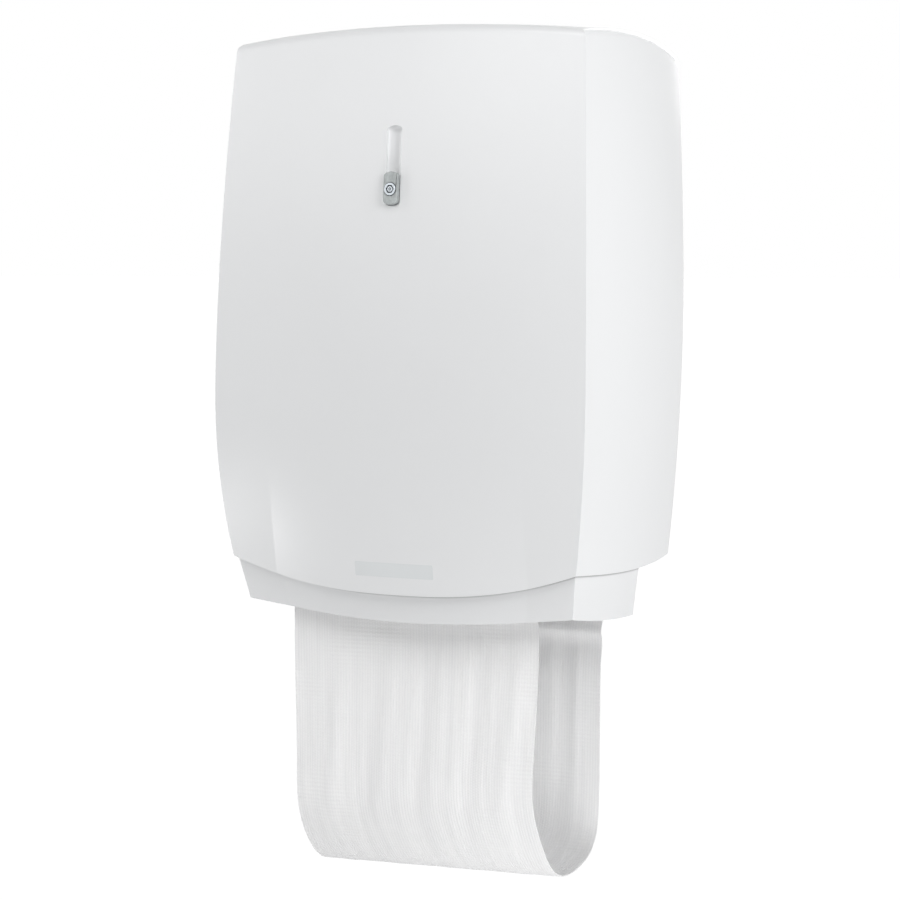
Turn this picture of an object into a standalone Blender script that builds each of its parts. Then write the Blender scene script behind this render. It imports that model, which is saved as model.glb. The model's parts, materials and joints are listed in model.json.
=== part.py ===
"""Wall cabinet for a continuous cloth roll towel, as an assembly of separate named solids.

Lengths are metres. The wall is the plane Y = 0, the front looks along -Y, +Z is up, and the
origin is the middle of the back plate's wall face.
"""
import math

import bmesh
import bpy
from mathutils import Matrix, Vector

# Gaps, shared by every pair of pieces that touch
GAP = 0.0003
OVERRUN = 0.012
BORE_OVERRUN = 0.003
SHARP_ANGLE = math.radians(35.0)
ROUND_STEPS = 24
FINE_STEPS = 32
SMALL_STEPS = 16
SCREW_STEPS = 12
END_STEPS = 8
COIL_STEPS = 8
SMALL_BORE_RADIUS = 0.005
SIDES = ((-1, "left"), (1, "right"))

# Cloth and rolls
TOWEL_WIDTH = 0.240
TOWEL_THICKNESS = 0.0012
FULL_ROLL_RADIUS = 0.085
CLEAN_ROLL_SHARE = 0.8
CLEAN_ROLL_RADIUS = FULL_ROLL_RADIUS * CLEAN_ROLL_SHARE
USED_ROLL_SHARE = 0.565
USED_ROLL_RADIUS = FULL_ROLL_RADIUS * USED_ROLL_SHARE
ROLL_WALL_SPACE = 0.015
ROLL_FRONT_SPACE = 0.0175
CORE_RADIUS = 0.020
CORE_WALL = 0.002
CORE_OVERHANG = 0.002
USED_ROLL_INSET = 0.001

# Side frames, across
FRAME_SPACE = 0.008
FRAME_WALL = 0.003
FRAME_IN = TOWEL_WIDTH / 2 + FRAME_SPACE
FRAME_OUT = FRAME_IN + FRAME_WALL

# Cover shell: half widths and reaches are measured at the foot, at the widest height and at the head
COVER_WALL = 0.0024
COVER_FOOT_Z = -0.215
COVER_HEAD_Z = 0.2495
COVER_REAR_GAP = 0.001
COVER_SIDE_SPACE = 0.0386
COVER_HALF_FOOT = FRAME_OUT + COVER_SIDE_SPACE
COVER_HALF_SWELL = 0.0124
COVER_HALF_HEAD_SWELL = 0.0008
COVER_HALF_PEAK_Z = -0.065
COVER_REAR_FOOT_FLARE = 0.0072
COVER_REAR_SWELL = 0.0204
COVER_REAR_HEAD_FLARE = 0.0132
COVER_REAR_PEAK_Z = 0.025
COVER_REACH_FOOT = ROLL_WALL_SPACE + 2 * FULL_ROLL_RADIUS + ROLL_FRONT_SPACE
COVER_REACH_SWELL = 0.0104
COVER_REACH_HEAD_DROP = 0.0143
COVER_REACH_PEAK_Z = -0.085
COVER_FRONT_BULGE = 0.0115
COVER_SIDE_BULGE = 0.0070
COVER_SEAM_DROP = 0.025
COVER_SIDE_DIP = 0.005
COVER_REAR_DIP = 0.0015
COVER_CROWN = 0.0085
COVER_SIDE_RISE = 0.0236
COVER_SIDE_FALL = 0.0331
COVER_EDGE_RADIUS = 0.008
FACET_WIDTH = 0.045
FACET_X = COVER_HALF_FOOT - FACET_WIDTH
FACET_SCOOP = 0.0032
FACET_FADE_Z = -0.085
FOOT_POWER = 2.0
HEAD_POWER = 1.6
SEAM_POWER = 1.8
SIDE_BULGE_POWER = 1.5
SIDE_BULGE_PEAK_SHARE = 0.186
FACET_FADE_POWER = 1.5
WALL_RINGS = 9
EDGE_RINGS = 3
SIDE_STEPS = 8
FRONT_STEPS = 10
FACET_STEPS = 4

# Back plate
PLATE_SIDE_SPACE = 0.041
PLATE_FOOT_MARGIN = 0.010
PLATE_HEAD_MARGIN = 0.0215
PLATE_WALL = 0.003
PLATE_RIM_DEPTH = 0.012
PLATE_RIM_WALL = 0.0024
PLATE_HOLE_RADIUS = 0.0035
PLATE_HOLE_INSET = 0.017
PLATE_HOLE_Z = 0.170
PLATE_HALF_WIDTH = FRAME_OUT + PLATE_SIDE_SPACE
PLATE_FOOT = COVER_FOOT_Z + PLATE_FOOT_MARGIN
PLATE_HEAD = COVER_HEAD_Z - PLATE_HEAD_MARGIN
PLATE_HOLE_X = PLATE_HALF_WIDTH - PLATE_HOLE_INSET

# Side frames, seen along X
FRAME_SETBACK = 0.0145
FRAME_FRONT = COVER_REACH_FOOT - FRAME_SETBACK
FRAME_HEAD_MARGIN = 0.014
FRAME_FOOT_MARGIN = 0.0115
FRAME_EAR_REACH = 0.012
FRAME_CORNER = 0.030
FRAME_WINDOW_RADIUS = 0.026
FRAME_FLANGE_WIDTH = 0.016
FRAME_FLANGE_FOOT_INSET = 0.009
FRAME_FLANGE_HEAD_INSET = 0.032
FRAME_FLANGE_FOOT = PLATE_FOOT + FRAME_FLANGE_FOOT_INSET
FRAME_FLANGE_HEAD = PLATE_HEAD - FRAME_FLANGE_HEAD_INSET

# Skirt
SKIRT_WALL = 0.0024
SKIRT_FRONT_INSET = 0.0056
SKIRT_SIDE_INSET = 0.0034
SKIRT_FRONT_SLOPE = 0.26
SKIRT_SIDE_SLOPE = 0.165
SKIRT_END_SHARE = 0.61
SKIRT_TUCK = 0.004
SKIRT_CORNER_DEPTH = 0.0402
SKIRT_FRONT_DROP = 0.0094
SKIRT_SIDE_DROP = 0.010
SKIRT_DROP_POWER = 1.5
SKIRT_SIDE_STEPS = 6
SKIRT_RINGS = 4
SKIRT_FLOOR_DEPTH = 0.0389
SKIRT_FLOOR_TOP = COVER_FOOT_Z - SKIRT_FLOOR_DEPTH
SKIRT_FLOOR_WALL = 0.0024
SKIRT_FLOOR_START_SHARE = 0.05
SKIRT_FLOOR_END_SHARE = 0.58
SKIRT_TAB_HEIGHT = 0.016
SKIRT_TAB_HALF = 0.030
SKIRT_SCREW_SPREAD = 0.018

# Feed, pressure and take-up axes
FEED_RADIUS = 0.022
FEED_SETBACK = 0.048
FEED_RISE = 0.010
FEED_Y = FEED_SETBACK - COVER_REACH_FOOT
FEED_Z = COVER_FOOT_Z + FEED_RISE
SHAFT_RADIUS = 0.004
PRESS_RADIUS = 0.012
PRESS_SHAFT_RADIUS = 0.003
PRESS_END_SPACE = 0.003
TAKEUP_BEHIND_FEED = 0.0705
TAKEUP_OVER_FEED = 0.117
TAKEUP_Y = FEED_Y + TAKEUP_BEHIND_FEED
TAKEUP_Z = FEED_Z + TAKEUP_OVER_FEED
TAKEUP_BARREL_RADIUS = 0.010
CLEAN_Y = -ROLL_WALL_SPACE - FULL_ROLL_RADIUS
CLEAN_ROLL_DROP = 0.1415
CLEAN_Z = COVER_HEAD_Z - CLEAN_ROLL_DROP
PRESS_Y = FEED_Y - FEED_RADIUS - TOWEL_THICKNESS - 2 * GAP - PRESS_RADIUS

# Bushes
BUSH_RADIUS = 0.007
BUSH_FLANGE_RADIUS = 0.0095
BUSH_FLANGE_WALL = 0.0017

# Gears
GEAR_MODULE = 0.003
GEAR_WIDTH = 0.008
GEAR_GAP = 0.0006
GEAR_ADDENDUM = 0.0024
GEAR_DEDENDUM = 0.0031
GEAR_TIP_HALF = 0.0010
GEAR_ROOT_HALF = 0.0026
FEED_TEETH = 16
IDLER_TEETH = 23
TAKEUP_TEETH = 32
GEAR_START = FRAME_OUT + GAP + BUSH_FLANGE_WALL + GEAR_GAP
GEAR_STOP = GEAR_START + GEAR_WIDTH
AXLE_END = 0.002
HEAD_WALL = 0.0018
HEAD_LIP = 0.0022

# Ratchet and pawl
RATCHET_TEETH = 16
RATCHET_TIP = 0.020
RATCHET_ROOT = 0.0165
RATCHET_FACE_SHARE = 0.08
PAWL_REST_ANGLE = math.radians(84.0)
PAWL_BEHIND_FEED = 0.0285
PAWL_OVER_FEED = 0.035
PAWL_PIVOT_Y = FEED_Y + PAWL_BEHIND_FEED
PAWL_PIVOT_Z = FEED_Z + PAWL_OVER_FEED
PAWL_PIN_RADIUS = 0.0025
PAWL_BOSS_RADIUS = 0.0050
PAWL_TIP_HALF = 0.0008
PAWL_CLEARANCE = 0.0018
PAWL_LIFT = math.radians(5.5)

# Pressure bracket
BRACKET_IN = (TOWEL_WIDTH + PRESS_END_SPACE) / 2
BRACKET_WALL = 0.003
BRACKET_BEFORE_FEED = 0.030
BRACKET_OVER_FEED = 0.045
BRACKET_TAIL_BACK = 0.0035
BRACKET_TAIL_RISE = 0.032
BRACKET_PIVOT_Y = FEED_Y - BRACKET_BEFORE_FEED
BRACKET_PIVOT_Z = FEED_Z + BRACKET_OVER_FEED
BRACKET_TAIL_Y = BRACKET_PIVOT_Y + BRACKET_TAIL_BACK
BRACKET_TAIL_Z = BRACKET_PIVOT_Z + BRACKET_TAIL_RISE
BRACKET_HALF_WIDTH = 0.005
BRACKET_PIN_RADIUS = 0.003
BRACKET_BAR_AHEAD = 0.0045
BRACKET_BAR_WALL = 0.003
BRACKET_BAR_RISE = 0.010
BRACKET_BAR_HEIGHT = 0.011
BRACKET_BAR_FRONT = BRACKET_PIVOT_Y - BRACKET_BAR_AHEAD
BRACKET_BAR_FOOT = BRACKET_PIVOT_Z + BRACKET_BAR_RISE
BRACKET_BAR_HEAD = BRACKET_BAR_FOOT + BRACKET_BAR_HEIGHT
PRESS_SPRING_RADIUS = 0.0024
PRESS_SPRING_WIRE = 0.0004
PRESS_SPRING_LENGTH = 0.0234
PRESS_SPRING_TURNS = 6
PRESS_LUG_DEPTH = 0.004
PRESS_LUG_HALF = 0.004

# Roll hubs
HUB_SPIGOT_RADIUS = 0.0174
HUB_SPIGOT_LENGTH = 0.018
HUB_FLANGE_RADIUS = 0.028
HUB_FLANGE_WALL = 0.003
HUB_STUB_RADIUS = 0.006
HUB_NUT_RADIUS = 0.011
HUB_NUT_WALL = 0.005
HUB_SHOULDER_RADIUS = 0.0215
HUB_SHOULDER_WALL = 0.003
CUP_RADIUS = 0.025
CUP_WALL = 0.0025
CUP_DEPTH = 0.029
CUP_FLANGE_RADIUS = 0.031
HUB_SPRING_RADIUS = 0.0165
HUB_SPRING_WIRE = 0.0007
HUB_SPRING_TURNS = 5

# Cover hinge
HINGE_SETBACK = 0.0345
HINGE_DROP = 0.030
HINGE_Y = HINGE_SETBACK - COVER_REACH_FOOT
HINGE_Z = COVER_FOOT_Z - HINGE_DROP
HINGE_PIN_RADIUS = 0.004
HINGE_BOSS_RADIUS = 0.007
ARM_SPACE = 0.015
ARM_IN = FRAME_OUT + ARM_SPACE
ARM_WALL = 0.004
ARM_REACH = 0.060
ARM_FOOT_Y = HINGE_Y + ARM_REACH
ARM_FOOT_HALF = 0.012
ARM_FOOT_Z = HINGE_Z + ARM_REACH
ARM_FOOT_HALF_HEIGHT = 0.018
ARM_SEAT_CLEARANCE = 0.0006
PIN_HEAD_RADIUS = 0.0065
PIN_HEAD_WALL = 0.0025

# Tie bar with the strike
TIE_DROP = 0.0595
TIE_SETBACK = 0.0105
TIE_DEPTH = 0.020
TIE_Z = COVER_HEAD_Z - TIE_DROP
TIE_FRONT = TIE_SETBACK - COVER_REACH_FOOT
TIE_BACK = TIE_FRONT + TIE_DEPTH
TIE_WALL = 0.003
TIE_TAB_HEIGHT = 0.013
STRIKE_HALF_WIDTH = 0.016
STRIKE_SETBACK = 0.0049
STRIKE_HEIGHT = 0.034
STRIKE_WALL = 0.0018
STRIKE_FRONT = STRIKE_SETBACK - COVER_REACH_FOOT
STRIKE_FOOT = TIE_Z - STRIKE_HEIGHT

# Lock recess, in its own tilted frame: x across, y into the cover, z up the slot
SLOT_AHEAD = 0.0097
SLOT_DROP = 0.1135
SLOT_Y = -COVER_REACH_FOOT - SLOT_AHEAD
SLOT_Z = COVER_HEAD_Z - SLOT_DROP
SLOT_TILT = math.radians(5.4)
SLOT_END_SHARE = 0.55
RECESS_HALF_WIDTH = 0.0073
RECESS_HALF_HEIGHT = 0.0352
RECESS_MOUTH = 0.0012
RECESS_DEPTH = 0.0045
RECESS_WALL = 0.0020
RECESS_RIM = 0.0022
RECESS_SEAT = 0.0012
GROOVE_STEPS = 4
SLIDE_TRAVEL = 0.010
SLIDER_HALF_WIDTH = 0.0068
SLIDER_FOOT = -0.0346
SLIDER_HEAD = -0.0056
SLIDER_PROUD = 0.0042
SLIDER_SEAT = 0.0010
CORE_HALF_WIDTH = 0.0044
CORE_INSET = 0.0030
CORE_DEPTH = 0.0035
NECK_HALF_WIDTH = 0.0036
NECK_FOOT = -0.0246
NECK_HEAD = -0.0166
INNER_HALF_WIDTH = 0.008
INNER_FOOT = -0.033
INNER_HEAD = -0.004
INNER_WALL = 0.002
HOOK_FOOT = -0.027
HOOK_ARM_HEIGHT = 0.005
HOOK_HEAD = 0.0165
HOOK_REACH = 0.0165
HOOK_WALL = 0.003
HOOK_HALF_WIDTH = 0.004
LOCK_Z = -0.021
LOCK_RADIUS = 0.0058
LOCK_PROUD = 0.0008
LOCK_DEPTH = 0.0045
LOCK_KEY_RADIUS = 0.0036
LOCK_KEY_DEPTH = 0.0030
LOCK_KEY_SIDES = 6
LOCK_PIN_RADIUS = 0.0009
LOCK_PIN_SIDES = 8
LOCK_STEM_RADIUS = 0.0022

# Towel path below the cabinet
FRONT_RUN_Y = FEED_Y - FEED_RADIUS - GAP - TOWEL_THICKNESS / 2
BACK_RUN_Y = -0.026
LOOP_CENTRE_Z = -0.428
LOOP_SIDE_DROP = 0.006
GUIDE_Y = -0.028
GUIDE_DROP = 0.007
GUIDE_Z = HINGE_Z - GUIDE_DROP
GUIDE_RADIUS = 0.0055
TOWEL_CREASE_DROP = 0.038
TOWEL_CREASE_Z = GUIDE_Z - TOWEL_CREASE_DROP
TOWEL_CREASE_RISE = 0.014
TOWEL_COLUMNS = 14
TOWEL_ARC_STEPS = 12
FRONT_RUN_SHARES = (0.2, 0.4, 0.6, 0.8)
BACK_RUN_SHARES = (0.33, 0.67, 1.0)
RIPPLE_DEPTH = 0.0018
RIPPLE_COUNT = 3.5
RIPPLE_START_Z = -0.275
RIPPLE_GROW = 0.060

# Screws
SCREW_RADIUS = 0.002
SCREW_HEAD_RADIUS = 0.004
SCREW_HEAD_WALL = 0.0024
SCREW_TIP = 0.0025
FRAME_SCREW_INSET = 0.046
FRAME_SCREW_LOW = FRAME_FLANGE_FOOT + FRAME_SCREW_INSET
FRAME_SCREW_HIGH = FRAME_FLANGE_HEAD - FRAME_SCREW_INSET
TIE_SCREW_SETBACK = 0.011
TIE_SCREW_Y = TIE_FRONT + TIE_SCREW_SETBACK
SKIRT_TAB_SETBACK = 0.048
SKIRT_TAB_Y = HINGE_Y + SKIRT_TAB_SETBACK

# Finishes: colour, roughness share, metal share
FINISHES = {
    "cover_white": ((0.86, 0.87, 0.87), 0.32, 0.0),
    "frame_grey": ((0.62, 0.63, 0.64), 0.50, 0.0),
    "steel": ((0.62, 0.62, 0.63), 0.30, 1.0),
    "slider_silver": ((0.55, 0.56, 0.57), 0.35, 0.8),
    "lock_metal": ((0.45, 0.45, 0.46), 0.30, 1.0),
    "roller_rubber": ((0.06, 0.06, 0.06), 0.70, 0.0),
    "acetal_white": ((0.80, 0.80, 0.78), 0.45, 0.0),
    "cloth": ((0.82, 0.82, 0.80), 0.95, 0.0),
    "used_cloth": ((0.74, 0.74, 0.71), 0.95, 0.0),
    "core_board": ((0.45, 0.34, 0.22), 0.85, 0.0),
}


def clear_scene():
    for old in list(bpy.data.objects):
        bpy.data.objects.remove(old, do_unlink=True)


def material(name, colour, roughness, metallic):
    made = bpy.data.materials.new(name)
    made.use_nodes = True
    shader = made.node_tree.nodes["Principled BSDF"]
    shader.inputs["Base Color"].default_value = (*colour, 1.0)
    shader.inputs["Roughness"].default_value = roughness
    shader.inputs["Metallic"].default_value = metallic
    return made


# Building blocks


def add_prism(bm, outline, axis, start, stop):
    """Extrude an outline of two coordinates along X, Y or Z, from start to stop."""
    places = {"X": lambda a, b: (start, a, b), "Y": lambda a, b: (a, start, b),
              "Z": lambda a, b: (a, b, start)}
    steps = {"X": (stop - start, 0, 0), "Y": (0, stop - start, 0), "Z": (0, 0, stop - start)}
    face = bm.faces.new([bm.verts.new(places[axis](a, b)) for a, b in outline])
    grown = bmesh.ops.extrude_face_region(bm, geom=[face], use_keep_orig=True)
    moved = [item for item in grown["geom"] if isinstance(item, bmesh.types.BMVert)]
    bmesh.ops.translate(bm, verts=moved, vec=steps[axis])


def add_box(bm, low, high):
    outline = [(low[0], low[1]), (high[0], low[1]), (high[0], high[1]), (low[0], high[1])]
    add_prism(bm, outline, "Z", low[2], high[2])


def add_turned(bm, profile, centre, steps=ROUND_STEPS, axis="X", bored=False):
    """Spin (along, radius) points round an axis through centre; a bored profile is a closed loop."""
    ring = [bm.verts.new((along, 0, radius)) for along, radius in profile]
    pairs = list(zip(ring, ring[1:]))
    if bored:
        pairs.append((ring[-1], ring[0]))
    edges = [bm.edges.new(pair) for pair in pairs]
    before = set(bm.verts) - set(ring)
    bmesh.ops.spin(bm, geom=ring + edges, cent=(0, 0, 0), axis=(1, 0, 0), angle=math.tau, steps=steps,
                   use_merge=True)
    fresh = [vert for vert in bm.verts if vert not in before]
    if not bored:
        rims = [edge for edge in bm.edges if edge.is_boundary and edge.verts[0] not in before]
        bmesh.ops.holes_fill(bm, edges=rims, sides=0)
    turns = {"X": Matrix.Identity(4), "Y": Matrix.Rotation(math.pi / 2, 4, "Z"),
             "Z": Matrix.Rotation(-math.pi / 2, 4, "Y")}
    bmesh.ops.transform(bm, matrix=Matrix.Translation(centre) @ turns[axis], verts=fresh)


def solid(name, bm, finish, pivot=(0, 0, 0), frame=None):
    """Turn a bmesh into a named object whose origin is its pivot, or whose space is a frame."""
    bmesh.ops.recalc_face_normals(bm, faces=bm.faces[:])
    mesh = bpy.data.meshes.new(name)
    bm.to_mesh(mesh)
    bm.free()
    mesh.shade_smooth()
    mesh.set_sharp_from_angle(angle=SHARP_ANGLE)
    made = bpy.data.objects.new(name, mesh)
    bpy.context.scene.collection.objects.link(made)
    if frame is None:
        mesh.transform(Matrix.Translation(-Vector(pivot)))
        made.location = pivot
    else:
        made.matrix_world = frame
    if finish is not None:
        mesh.materials.append(finish)
    return made


def combine(target, tool, operation):
    """Cut or join a hidden tool object with a live Boolean."""
    tool.hide_render = True
    tool.display_type = "WIRE"
    change = target.modifiers.new(tool.name, "BOOLEAN")
    change.operation = operation
    change.solver = "EXACT"
    change.object = tool


def cut(target, tool):
    combine(target, tool, "DIFFERENCE")


def join(target, tool):
    combine(target, tool, "UNION")


def slot(half_width, low, high):
    """Upright slot outline with low arched ends."""
    arch = half_width * SLOT_END_SHARE
    points = []
    for centre, first in ((high - arch, 0.0), (low + arch, math.pi)):
        for index in range(END_STEPS + 1):
            angle = first + math.pi * index / END_STEPS
            points.append((half_width * math.cos(angle), centre + arch * math.sin(angle)))
    return points


def circle(centre, radius, steps=ROUND_STEPS):
    turns = [math.tau * index / steps for index in range(steps)]
    return [(centre[0] + radius * math.cos(turn), centre[1] + radius * math.sin(turn)) for turn in turns]


def link(start, start_radius, end, end_radius, steps=END_STEPS):
    """Outline of a bar with two round ends."""
    lean = math.atan2(end[1] - start[1], end[0] - start[0])
    points = []
    ends = ((end, end_radius, lean - math.pi / 2), (start, start_radius, lean + math.pi / 2))
    for centre, radius, first in ends:
        for index in range(steps + 1):
            turn = first + math.pi * index / steps
            points.append((centre[0] + radius * math.cos(turn), centre[1] + radius * math.sin(turn)))
    return points


def hole_tool(name, holes, axis, start, stop):
    """One cutter with a round bore for each (a, b, radius)."""
    bm = bmesh.new()
    for a, b, radius in holes:
        steps = ROUND_STEPS if radius > SMALL_BORE_RADIUS else SMALL_STEPS
        add_prism(bm, circle((a, b), radius, steps), axis, start, stop)
    return solid(name, bm, None)


def coil(name, start, direction, length, radius, wire, turns, finish):
    """Compression spring as one tube along a helix."""
    curve = bpy.data.curves.new(name, "CURVE")
    curve.dimensions = "3D"
    curve.bevel_depth = wire
    curve.bevel_resolution = 0
    curve.use_fill_caps = True
    count = turns * COIL_STEPS + 1
    spline = curve.splines.new("POLY")
    spline.points.add(count - 1)
    along = Vector(direction)
    across = along.orthogonal().normalized()
    aside = along.cross(across)
    run = length - 2 * wire
    for index, point in enumerate(spline.points):
        turn = math.tau * index / COIL_STEPS
        place = along * (wire + run * index / (count - 1))
        place += across * radius * math.cos(turn) + aside * radius * math.sin(turn)
        point.co = (*place, 1.0)
    made = bpy.data.objects.new(name, curve)
    bpy.context.scene.collection.objects.link(made)
    made.location = start
    curve.materials.append(finish)
    return made


# Cover shape


def bowed(foot, peak, head, peak_z):
    """A size that changes smoothly with height, through its foot, peak and head values."""
    def value(z):
        if z < peak_z:
            share = (peak_z - z) / (peak_z - COVER_FOOT_Z)
            return peak + (foot - peak) * share ** FOOT_POWER
        share = (z - peak_z) / (COVER_HEAD_Z - peak_z)
        return peak + (head - peak) * share ** HEAD_POWER
    return value


half_width = bowed(COVER_HALF_FOOT, COVER_HALF_FOOT + COVER_HALF_SWELL,
                   COVER_HALF_FOOT + COVER_HALF_HEAD_SWELL, COVER_HALF_PEAK_Z)
rear_half_width = bowed(COVER_HALF_FOOT + COVER_REAR_FOOT_FLARE, COVER_HALF_FOOT + COVER_REAR_SWELL,
                        COVER_HALF_FOOT + COVER_REAR_HEAD_FLARE, COVER_REAR_PEAK_Z)
reach = bowed(COVER_REACH_FOOT, COVER_REACH_FOOT + COVER_REACH_SWELL,
              COVER_REACH_FOOT - COVER_REACH_HEAD_DROP, COVER_REACH_PEAK_Z)


def side_x(share, z, inset=0.0):
    """Outer half width of the side panel, from the front corner (0) to the wall (1)."""
    corner = half_width(z) - inset
    rear = rear_half_width(z) - inset
    sag = share ** SIDE_BULGE_POWER * (1 - share) / SIDE_BULGE_PEAK_SHARE
    return corner + (rear - corner) * share + COVER_SIDE_BULGE * sag


def side_y(share, z, inset=0.0):
    return -COVER_REAR_GAP - (reach(z) - inset - COVER_REAR_GAP) * (1 - share)


def front_y(x, z, inset=0.0):
    """Front panel: one shallow arc, with a scooped facet outside each lower crease."""
    half = half_width(z) - inset
    arc = COVER_FRONT_BULGE * (1 - (x / half) ** 2)
    scoop = 0.0
    if abs(x) > FACET_X and z < FACET_FADE_Z:
        fade = ((FACET_FADE_Z - z) / (FACET_FADE_Z - COVER_FOOT_Z)) ** FACET_FADE_POWER
        scoop = FACET_SCOOP * fade * math.sin(math.pi * (abs(x) - FACET_X) / (half - FACET_X))
    return -(reach(z) - inset) - arc + scoop


def seam_z(x_share):
    """Cover's lower front edge, lowest in the middle."""
    return COVER_FOOT_Z - COVER_SEAM_DROP * (1 - x_share ** SEAM_POWER)


def side_foot_z(share):
    return COVER_FOOT_Z - COVER_REAR_DIP * share - COVER_SIDE_DIP * math.sin(math.pi * share)


def head_z(share):
    """Height of the top edge along the side, from the front corner to the wall."""
    return COVER_HEAD_Z + COVER_SIDE_RISE * share - COVER_SIDE_FALL * share ** 2


def front_columns():
    """(zone, share) of each front column from the left corner to the right one."""
    columns = [("facet", -1 + index / FACET_STEPS) for index in range(FACET_STEPS)]
    columns += [("middle", -1 + 2 * index / FRONT_STEPS) for index in range(FRONT_STEPS + 1)]
    columns += [("facet", (index + 1) / FACET_STEPS) for index in range(FACET_STEPS)]
    return columns


def column_x(column, half):
    zone, share = column
    if zone == "middle":
        return FACET_X * share
    return math.copysign(FACET_X, share) + (half - FACET_X) * share


def ring_spots():
    """Places along a ring: left side from the wall, front, right side to the wall."""
    shares = [index / SIDE_STEPS for index in range(1, SIDE_STEPS + 1)]
    spots = [("side", -1, share) for share in reversed(shares)]
    spots += [("front", 0, column) for column in front_columns()]
    spots += [("side", 1, share) for share in shares]
    return spots


def spot_edges(spot):
    """Foot and head heights at a place of the ring."""
    kind, _, share = spot
    if kind == "side":
        return side_foot_z(share), head_z(share)
    half = COVER_HALF_FOOT
    x_share = min(abs(column_x(share, half)) / half, 1.0)
    return seam_z(x_share), COVER_HEAD_Z + COVER_CROWN * (1 - x_share ** 2)


def spot_point(spot, z, inset=0.0):
    kind, sign, share = spot
    if kind == "side":
        return (sign * side_x(share, z, inset), side_y(share, z, inset), z)
    x = column_x(share, half_width(z) - inset)
    return (x, front_y(x, z, inset), z)


def cover_rings():
    """Rings of points from the foot, up the walls and over the rounded top edge."""
    spots = ring_spots()
    rings = []
    for index in range(WALL_RINGS + 1):
        ring = []
        for spot in spots:
            foot, head = spot_edges(spot)
            ring.append(spot_point(spot, foot + (head - COVER_EDGE_RADIUS - foot) * index / WALL_RINGS))
        rings.append(ring)
    for index in range(1, EDGE_RINGS + 1):
        turn = math.pi / 2 * index / EDGE_RINGS
        inset = COVER_EDGE_RADIUS * (1 - math.cos(turn))
        drop = COVER_EDGE_RADIUS * (1 - math.sin(turn))
        rings.append([spot_point(spot, spot_edges(spot)[1] - drop, inset) for spot in spots])
    return rings


def top_rows(last_ring):
    """Rows of the top panel, from the front edge back to the wall."""
    front = last_ring[SIDE_STEPS:-SIDE_STEPS]
    half = front[-1][0]
    rows = [front]
    for step in range(1, SIDE_STEPS + 1):
        left = last_ring[SIDE_STEPS - step]
        right = last_ring[len(last_ring) - 1 - SIDE_STEPS + step]
        fade = 1 - step / SIDE_STEPS
        row = [left]
        for place in front[1:-1]:
            share = place[0] / half
            rise = fade * (place[2] - front[0][2])
            bulge = fade * (place[1] - front[0][1])
            row.append((share * right[0], right[1] + bulge, right[2] + rise))
        row.append(right)
        rows.append(row)
    return rows


def add_sheet(bm, rows):
    """Join rows of ready vertices with quads."""
    for low, high in zip(rows, rows[1:]):
        for index in range(len(low) - 1):
            bm.faces.new((low[index], low[index + 1], high[index + 1], high[index]))


def thicken(target, wall):
    change = target.modifiers.new("wall", "SOLIDIFY")
    change.thickness = wall
    change.offset = -1.0
    change.use_even_offset = True


def make_front_cover(finish, slot_frame):
    bm = bmesh.new()
    rings = cover_rings()
    ring_verts = [[bm.verts.new(point) for point in ring] for ring in rings]
    add_sheet(bm, ring_verts)
    top = ring_verts[-1]
    rows = [top[SIDE_STEPS:-SIDE_STEPS]]
    for step, row in enumerate(top_rows(rings[-1])[1:], start=1):
        inner = [bm.verts.new(point) for point in row[1:-1]]
        rows.append([top[SIDE_STEPS - step]] + inner + [top[len(top) - 1 - SIDE_STEPS + step]])
    add_sheet(bm, rows)
    pivot = (0, HINGE_Y, HINGE_Z)
    cover = solid("front_cover", bm, finish, pivot)
    thicken(cover, COVER_WALL)
    rim = RECESS_HALF_HEIGHT + RECESS_RIM
    join(cover, slot_tool("recess_block", RECESS_HALF_WIDTH + RECESS_RIM, -rim, rim,
                          RECESS_SEAT, RECESS_DEPTH + RECESS_WALL, slot_frame))
    cut(cover, groove_tool("recess_cut", slot_frame))
    cut(cover, slot_tool("keyway_cut", NECK_HALF_WIDTH + GAP, NECK_FOOT - GAP, NECK_HEAD + SLIDE_TRAVEL + GAP,
                         RECESS_MOUTH, RECESS_DEPTH + OVERRUN, slot_frame))
    return cover


def slot_tool(name, half, low, high, start, stop, slot_frame):
    bm = bmesh.new()
    add_prism(bm, slot(half, low, high), "Y", start, stop)
    return solid(name, bm, None, frame=slot_frame)


def groove_tool(name, slot_frame):
    """Cutter for the recess: a straight mouth over a hollow that rounds in to its floor."""
    levels = [(-OVERRUN, 0), (RECESS_MOUTH, 0)]
    for index in range(1, GROOVE_STEPS + 1):
        turn = math.pi / 2 * index / (GROOVE_STEPS + 1)
        depth = RECESS_MOUTH + (RECESS_DEPTH - RECESS_MOUTH) * math.sin(turn)
        levels.append((depth, RECESS_HALF_WIDTH * (1 - math.cos(turn))))
    bm = bmesh.new()
    rings = []
    for depth, inset in levels:
        height = RECESS_HALF_HEIGHT - inset
        outline = slot(RECESS_HALF_WIDTH - inset, -height, height)
        ring = [bm.verts.new((x, depth, z)) for x, z in outline]
        rings.append(ring + ring[:1])
    add_sheet(bm, rings)
    bm.faces.new(rings[0][:-1])
    bm.faces.new(rings[-1][:-1])
    return solid(name, bm, None, frame=slot_frame)


# Skirt


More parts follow.
